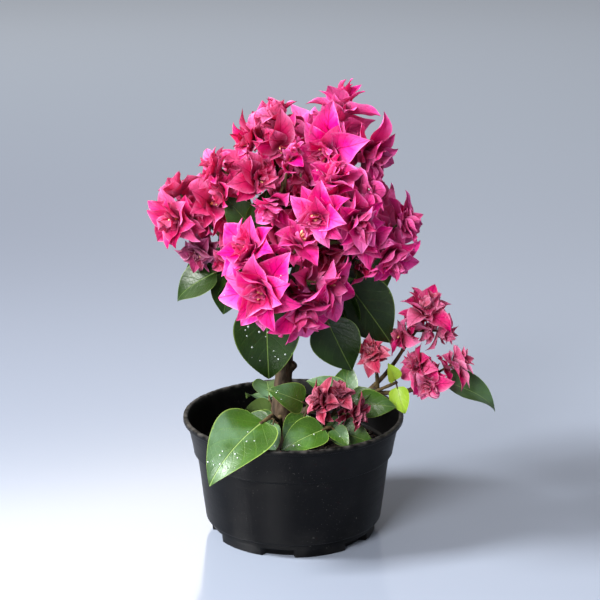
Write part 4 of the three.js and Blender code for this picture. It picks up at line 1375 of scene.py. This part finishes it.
# %% Make the wood finishes
def wood_finish(name, dark, body, light, grain_scale, depth):
    finish = Finish(name)
    stretch = finish.node("ShaderNodeMapping", {}, {"Vector": finish.place(), "Scale": (1, 1, 0.3)})
    grain = finish.noise(grain_scale, 6, stretch, 0.65)
    flakes = finish.cells(grain_scale * 0.9, "F1", stretch)
    colour = finish.mix(grain.step(0.3, 0.62), rgb(dark), rgb(body))
    colour = finish.mix(flakes.step(0.25, 0.7) * 0.5, colour, rgb(light))
    return finish.finish(colour, 0.72 + grain * 0.2, grain - flakes * 0.4, depth, Specular_IOR_Level=0.3)


bark = wood_finish("grey_bark", "#120d09", "#30261b", "#5a4a38", 260, 0.0011)
green_bark = wood_finish("green_twig_bark", "#20160e", "#40301c", "#5e5230", 340, 0.0004)
print("barks:", bark.name, "and", green_bark.name)


# %% Carve the limbs
WOODY = 3
STUB = {"from": 0.5, "bearing": -12, "rise": 48, "length": 11.5, "radius": 3.7, "seed": 9.1}


def carved(line, radius, sides, crack, seed):
    """Radii round every ring of a limb: ridges that run along it, swellings across it and fine bumps."""
    rings = len(line)
    spread = np.empty((rings, sides))
    for i in range(rings):
        swelling = 0.5 + 0.5 * noise.noise(Vector((seed, 0, line[i][2] * 0.16 + i * 0.05)))
        for j in range(sides):
            turn = 2 * math.pi * j / sides
            spot = Vector((math.cos(turn) * 1.3, math.sin(turn) * 1.3, i * 0.045 + seed))
            ridge = abs(noise.noise(spot * 1.6))
            fine = noise.noise(spot * 4.1)
            spread[i, j] = 1 + crack * (0.9 * ridge - 0.25) + crack * 0.35 * fine + 0.09 * (swelling - 0.5)
    return radius[:, None] * spread


def build_limbs(name, chosen, rings, sides, crack, material, slot):
    """One mesh of the chosen limbs. The trunk brings the stub of a pruned bough with it."""
    growth = Growth()
    template = tube_template(rings, sides)
    share = np.linspace(0, 1, rings + 1)
    for seed, limb in enumerate(chosen):
        line = limb.at(share)
        radii = carved(line, limb.radius(share), sides, crack, seed * 3.7)
        growth.add(template, tube_points(sides, line[None], radii[None]), tint=[seed / 20])
    if chosen[0].name == "trunk":
        foot, way = limbs["trunk"].at(STUB["from"]), direction(STUB["bearing"], STUB["rise"])
        line = foot + way * (share * STUB["length"])[:, None]
        blunt = STUB["radius"] * (1 - 0.16 * share) * np.where(share > 0.94, 1 - (share - 0.94) * 5, 1)
        radii = carved(line, blunt, sides, crack, STUB["seed"])
        growth.add(template, tube_points(sides, line[None], radii[None]), tint=[1])
    piece = growth.make(name, material, slot, *(limb.name for limb in chosen))
    print(name, "has", len(piece.data.polygons), "faces")


woody = [limb for limb in limbs.values() if limb.radii[0] > WOODY and limb.name != "trunk"]
slender = [limb for limb in limbs.values() if limb.radii[0] <= WOODY]
build_limbs("trunk_wood", [limbs["trunk"]], 110, 40, 0.16, bark, "bark")
build_limbs("woody_boughs", woody, 50, 20, 0.1, bark, "bark")
build_limbs("slender_boughs", slender, 36, 14, 0.07, green_bark, "green_bark")

# %% Grow the twigs and leaf stalks
TWIG_RINGS, TWIG_SIDES = 10, 8
TWIG_BOW = 0.05


def bowed(start, end, chances):
    """A line from start to end that bows a little to one side."""
    share = np.linspace(0, 1, TWIG_RINGS + 1)
    line = start + (end - start) * share[:, None]
    aside = crosswise(unit(end - start))[0]
    bow = chances.uniform(-TWIG_BOW, TWIG_BOW) * np.linalg.norm(end - start)
    return line + aside * (bow * np.sin(np.pi * share))[:, None]


def build_twigs():
    chances = np.random.default_rng(21)
    share = np.linspace(0, 1, TWIG_RINGS + 1)
    lines, radii = [], []
    for spray in sprays:
        for start, end, radius in spray.twigs:
            lines.append(bowed(start, end, chances))
            radii.append(radius * (1.05 - 0.3 * share) * (1 + 0.08 * np.cos(share * 17)))
    for bloom in inside_blooms:
        lines.append(bowed(bloom["fork"], bloom["centre"], chances))
        radii.append(0.9 - 0.3 * share)
    for leaf in kept_leaves:
        lines.append(bowed(leaf.start, leaf.at(0.06, 0.0), chances))
        radii.append(leaf.length * (0.02 - 0.005 * share) + 0.25)
    growth = Growth()
    points = tube_points(TWIG_SIDES, np.array(lines), np.array(radii))
    growth.add(tube_template(TWIG_RINGS, TWIG_SIDES), points, tint=chances.uniform(0, 1, len(lines)))
    growth.make("twigs", green_bark, "green_bark")
    return len(lines)


print("twigs and stalks:", build_twigs())


# %% [markdown]
# ## Pot
#
# The pot is a thin black plastic one of the kind that nurseries use: a band for a foot with small
# arches cut in it, a slightly flared wall, a collar and a lip. It could be cut by Boolean boxes. A
# turned grid whose columns step inwards at the arches gives the same form with clean faces, and the
# slope of a moulded plastic edge comes with it.

# %% List the pot's profile
POT_COLUMNS = 264
NOTCHES, NOTCH_WIDTH, NOTCH_HEIGHT, NOTCH_DEPTH, FIRST_NOTCH = 6, 22, 5.8, 4.6, -100

# Radius, height, and whether an arch moves this point inwards (0 or 1).
POT_PROFILE = [
    (0.01, 2.0, 0), (30, 2.0, 0), (49, 2.0, 0), (50, 0.35, 0), (51, 0, 0), (52.4, 0, 0), (56.6, 0, 1),
    (57.1, 0.2, 1), (57.25, 0.6, 1), (57.7, NOTCH_HEIGHT - 0.2, 1), (57.8, NOTCH_HEIGHT, 0),
    (57.9, 6.2, 0), (58.3, 9.2, 0), (58.35, 9.7, 0), (58.5, 10, 0), (60.8, 10.3, 0), (61.3, 10.6, 0),
    (61.5, 11.1, 0), (61.6, 11.8, 0), (63.4, 26, 0), (65.2, 42, 0), (67.1, 56.6, 0), (67.2, 57.6, 0),
    (67.4, 58, 0), (69.1, 58.2, 0), (69.4, 58.5, 0), (69.5, 59.3, 0), (70.6, 66, 0), (72.3, 73.5, 0),
    (73.9, 79.6, 0), (74, 80.2, 0), (74.3, 80.5, 0), (75.9, 80.6, 0), (76.3, 80.8, 0), (76.5, 81.2, 0),
    (76.5, 83.3, 0), (76.3, 83.8, 0), (75.9, 84, 0), (74, 84, 0), (73.5, 83.8, 0), (73.2, 83.2, 0),
    (71.9, 76, 0), (69.8, 67, 0), (68, 59.8, 0), (67.7, 59.2, 0), (66.3, 58.8, 0), (65.9, 58.3, 0),
    (64.8, 46, 0), (62.6, 30, 0), (60, 11.5, 0), (50.8, 7.5, 0), (30, 7.3, 0), (0.01, 7.2, 0),
]
print("points up and down the pot's wall:", len(POT_PROFILE))

# %% Turn the pot
LIP_NICK, NICKED_ABOVE = 0.45, 83


def in_notch(bearing, radius):
    """1 inside an arch, 0 outside it."""
    step = 360 / NOTCHES
    off = abs((bearing - FIRST_NOTCH + step / 2) % step - step / 2)
    return 1.0 if math.radians(off) * radius < NOTCH_WIDTH / 2 else 0.0


def pot_points():
    """Rows of the profile x columns x 3. The wall sways a little, and the lip has small nicks."""
    points = np.empty((len(POT_PROFILE), POT_COLUMNS, 3))
    nicks = np.random.default_rng(8)
    for j in range(POT_COLUMNS):
        bearing = 360 * j / POT_COLUMNS
        turn = math.radians(bearing)
        sway = 0.16 * math.sin(2 * turn + 0.7) + 0.1 * math.sin(5 * turn)
        nick = LIP_NICK * nicks.uniform() ** 8
        for i, (radius, height, arched) in enumerate(POT_PROFILE):
            height -= nick if height > NICKED_ABOVE else 0
            radius = radius - NOTCH_DEPTH * arched * in_notch(bearing, radius)
            radius += sway * (height / POT_HEIGHT) ** 2 if radius > 1 else 0
            points[i, j] = radius * math.cos(turn), radius * math.sin(turn), height
    return points


# %% Close a grid round
def closed_grid(rows, columns):
    """A template of quads whose last column joins the first."""
    faces, places = [], []
    for i in range(rows - 1):
        for j in range(columns):
            k = (j + 1) % columns
            faces.append([i * columns + j, i * columns + k, (i + 1) * columns + k, (i + 1) * columns + j])
            left, right, low, high = j / columns, (j + 1) / columns, i / (rows - 1), (i + 1) / (rows - 1)
            places.append([(left, low), (right, low), (right, high), (left, high)])
    none = [0] * len(faces)
    return Template(faces, places, none, none, [False] * rows * columns)


# %% Make the plastic
def pot_finish():
    """Black plastic with dust, a film of dried water near its foot, a paler top to its lip and long scuffs.
    """
    finish = Finish("black_plastic")
    height = finish.node("ShaderNodeSeparateXYZ", {}, [finish.place()], output="Z")
    dust = finish.noise(900, 2).step(0.68, 0.76) * finish.noise(24, 3).step(0.45, 0.65)
    film = finish.noise(60, 5).step(0.42, 0.75) * (height.step(0.03, 0.0) * 0.5 + 0.2)
    # The top of the lip is paler in patches.
    lip = height.step(0.0815, 0.0838) * finish.noise(180, 4).step(0.35, 0.7)
    pale = (dust * 0.35 + film * 0.04 + lip * 0.16).held()
    colour = finish.mix(pale, rgb("#020203"), rgb("#8a8782"))
    scuffs = finish.node("ShaderNodeMapping", {}, {"Vector": finish.place(), "Scale": (1, 1, 9)})
    scuff = finish.noise(45, 5, scuffs, 0.7)
    roughness = 0.34 + scuff * 0.16 + dust * 0.3
    bumps = scuff * 0.3 + finish.noise(500, 2) * 0.2
    return finish.finish(colour, roughness, bumps, 0.0002, Specular_IOR_Level=0.13)


# %% Make the pot
def build_pot():
    growth = Growth()
    growth.add(closed_grid(len(POT_PROFILE), POT_COLUMNS), pot_points().reshape(1, -1, 3))
    return growth.make("pot_shell", pot_finish(), "black_plastic", "pot")


print("pot faces:", len(build_pot().data.polygons))

# %% [markdown]
# ## Soil
#
# Potting soil is bark crumbs, fibres and grit, heaped a little round the stem. A displaced surface
# alone would look like clay, so several hundred loose crumbs and fibres lie on it.

# %% Make the soil's finish
def soil_finish():
    finish = Finish("potting_soil")
    crumbs = finish.cells(420, "F1")
    coarse = finish.noise(120, 5)
    colour = finish.mix(coarse.step(0.35, 0.65), rgb("#070504"), rgb("#221811"))
    colour = finish.mix(finish.noise(700, 2).step(0.62, 0.7) * 0.6, colour, rgb("#57483a"))
    colour = finish.mix(finish.mark("tint") * 0.4, colour, rgb("#33261a"))
    return finish.finish(colour, 0.85 + coarse * 0.1, coarse - crumbs * 0.8, 0.0016, Specular_IOR_Level=0.25)


# %% Heap the soil
SOIL_COLUMNS, SOIL_ROWS = 132, 44
SOIL_FLOOR = 8.4
SOIL_UNDERSIDE = ((0.01, SOIL_FLOOR), (49, SOIL_FLOOR), (58.6, 13), (65.4, SOIL_LEVEL - 4))
SOIL_RADIUS = 65.2


def soil_height(x, y):
    """The soil's top: a heap round the trunk's foot, and lumps of three sizes."""
    spot = Vector((x, y, 0))
    heap = 3 * math.exp(-((x + 10) ** 2 + (y - 3) ** 2) / 500)
    return (SOIL_LEVEL - 2.2 + heap + 2.2 * noise.noise(spot * 0.06) + 1.5 * noise.noise(spot * 0.21)
            + 0.8 * noise.noise(spot * 0.6))


def soil_bed():
    """The bed as one closed turned grid: bottom, side and heaped top."""
    turns = np.arange(SOIL_COLUMNS) * 2 * math.pi / SOIL_COLUMNS
    points = [[(radius * math.cos(turn), radius * math.sin(turn), height) for turn in turns]
              for radius, height in SOIL_UNDERSIDE]
    for radius in np.linspace(SOIL_RADIUS, 0.3, SOIL_ROWS):
        ring = [(radius * math.cos(turn), radius * math.sin(turn)) for turn in turns]
        points.append([(x, y, soil_height(x, y)) for x, y in ring])
    return closed_grid(len(points), SOIL_COLUMNS), np.array(points).reshape(1, -1, 3)


# %% Strew crumbs and fibres on it
CRUMBS, FIBRE_EVERY = 760, 6
STREWN_RADIUS = 63
LUMP_SIDES = 7
LUMP_PROFILE = np.array([0.55, 0.95, 1.0, 0.9, 0.5])


def build_soil():
    growth = Growth()
    template, points = soil_bed()
    growth.add(template, points, tint=[0])
    chances = np.random.default_rng(31)
    lines, radii = [], []
    share = np.linspace(0, 1, len(LUMP_PROFILE))
    for k in range(CRUMBS):
        out, turn = STREWN_RADIUS * math.sqrt(chances.uniform()), chances.uniform(0, 2 * np.pi)
        x, y = out * math.cos(turn), out * math.sin(turn)
        fibre = k % FIBRE_EVERY == 0
        size = chances.uniform(5, 12) if fibre else chances.uniform(1.4, 4.2)
        thick = 0.3 if fibre else size * chances.uniform(0.3, 0.5)
        way = direction(chances.uniform(0, 360), chances.uniform(-8, 22))
        foot = np.array([x, y, soil_height(x, y) + thick * 0.5]) - way * size / 2
        sag = np.cross(way, UP) * chances.uniform(-0.2, 0.2) * size
        lines.append(foot + way * (share * size)[:, None] + sag * np.sin(share * np.pi)[:, None])
        radii.append(thick * LUMP_PROFILE * chances.uniform(0.85, 1.15, len(LUMP_PROFILE)))
    lumps = tube_template(len(LUMP_PROFILE) - 1, LUMP_SIDES)
    points = tube_points(LUMP_SIDES, np.array(lines), np.array(radii))
    growth.add(lumps, points, tint=chances.uniform(0, 1, len(lines)))
    return growth.make("soil_bed", soil_finish(), "potting_soil", "soil")


print("soil faces:", len(build_soil().data.polygons))

# %% [markdown]
# ## Water
#
# The plant was sprayed not long ago. Drops stand on the waxy leaves and the largest bracts: flattened
# caps of clear water, each on the blade's upper side. Painted highlights would stay where they are
# when the plant is turned, and a real drop's highlight moves with the light.

# %% Set the drops
DROP_SPRAYS = {"leaves_low_left": 26, "leaves_front": 14, "leaves_low_middle": 8, "blossom_front": 16,
               "leaves_low_front": 6, "blossom_middle": 6}
DROP_RINGS, DROP_SIDES = 5, 12
DROP_SIZES, SUNK = (0.3, 0.8), 0.1


def build_drops():
    """One mesh of all drops. Each stands up from its blade and is sunk a little into it."""
    chances = np.random.default_rng(61)
    finish = Finish("clear_water")
    tiny = finish.noise(200, 1)
    material = finish.finish(rgb("#e6f0ec"), tiny * 0.02 + 0.04, Transmission_Weight=0.6, IOR=1.33)
    up = np.linspace(0, 1, DROP_RINGS + 1)
    lines, radii = [], []
    for name, count in DROP_SPRAYS.items():
        spray = next(spray for spray in sprays if spray.name == name)
        blades = spray.leaves or [bract for bloom in spray.blooms for bract in bloom["bracts"]
                                  if bract.marks["ring"] == 0]
        for _ in range(count):
            blade = blades[min(int(chances.uniform() ** 2 * len(blades)), len(blades) - 1)]
            spot = blade.at(chances.uniform(0.2, 0.8), chances.uniform(-0.7, 0.7))
            size = chances.uniform(*DROP_SIZES)
            lines.append(spot + blade.normal * (up * size - SUNK)[:, None])
            radii.append(size * np.sqrt(np.maximum(1 - (up * 0.98) ** 2, 0)))
    growth = Growth()
    points = tube_points(DROP_SIDES, np.array(lines), np.array(radii))
    growth.add(tube_template(DROP_RINGS, DROP_SIDES), points)
    growth.make("water_drops", material, "glossy_leaves")
    return len(lines)


print("drops:", build_drops())
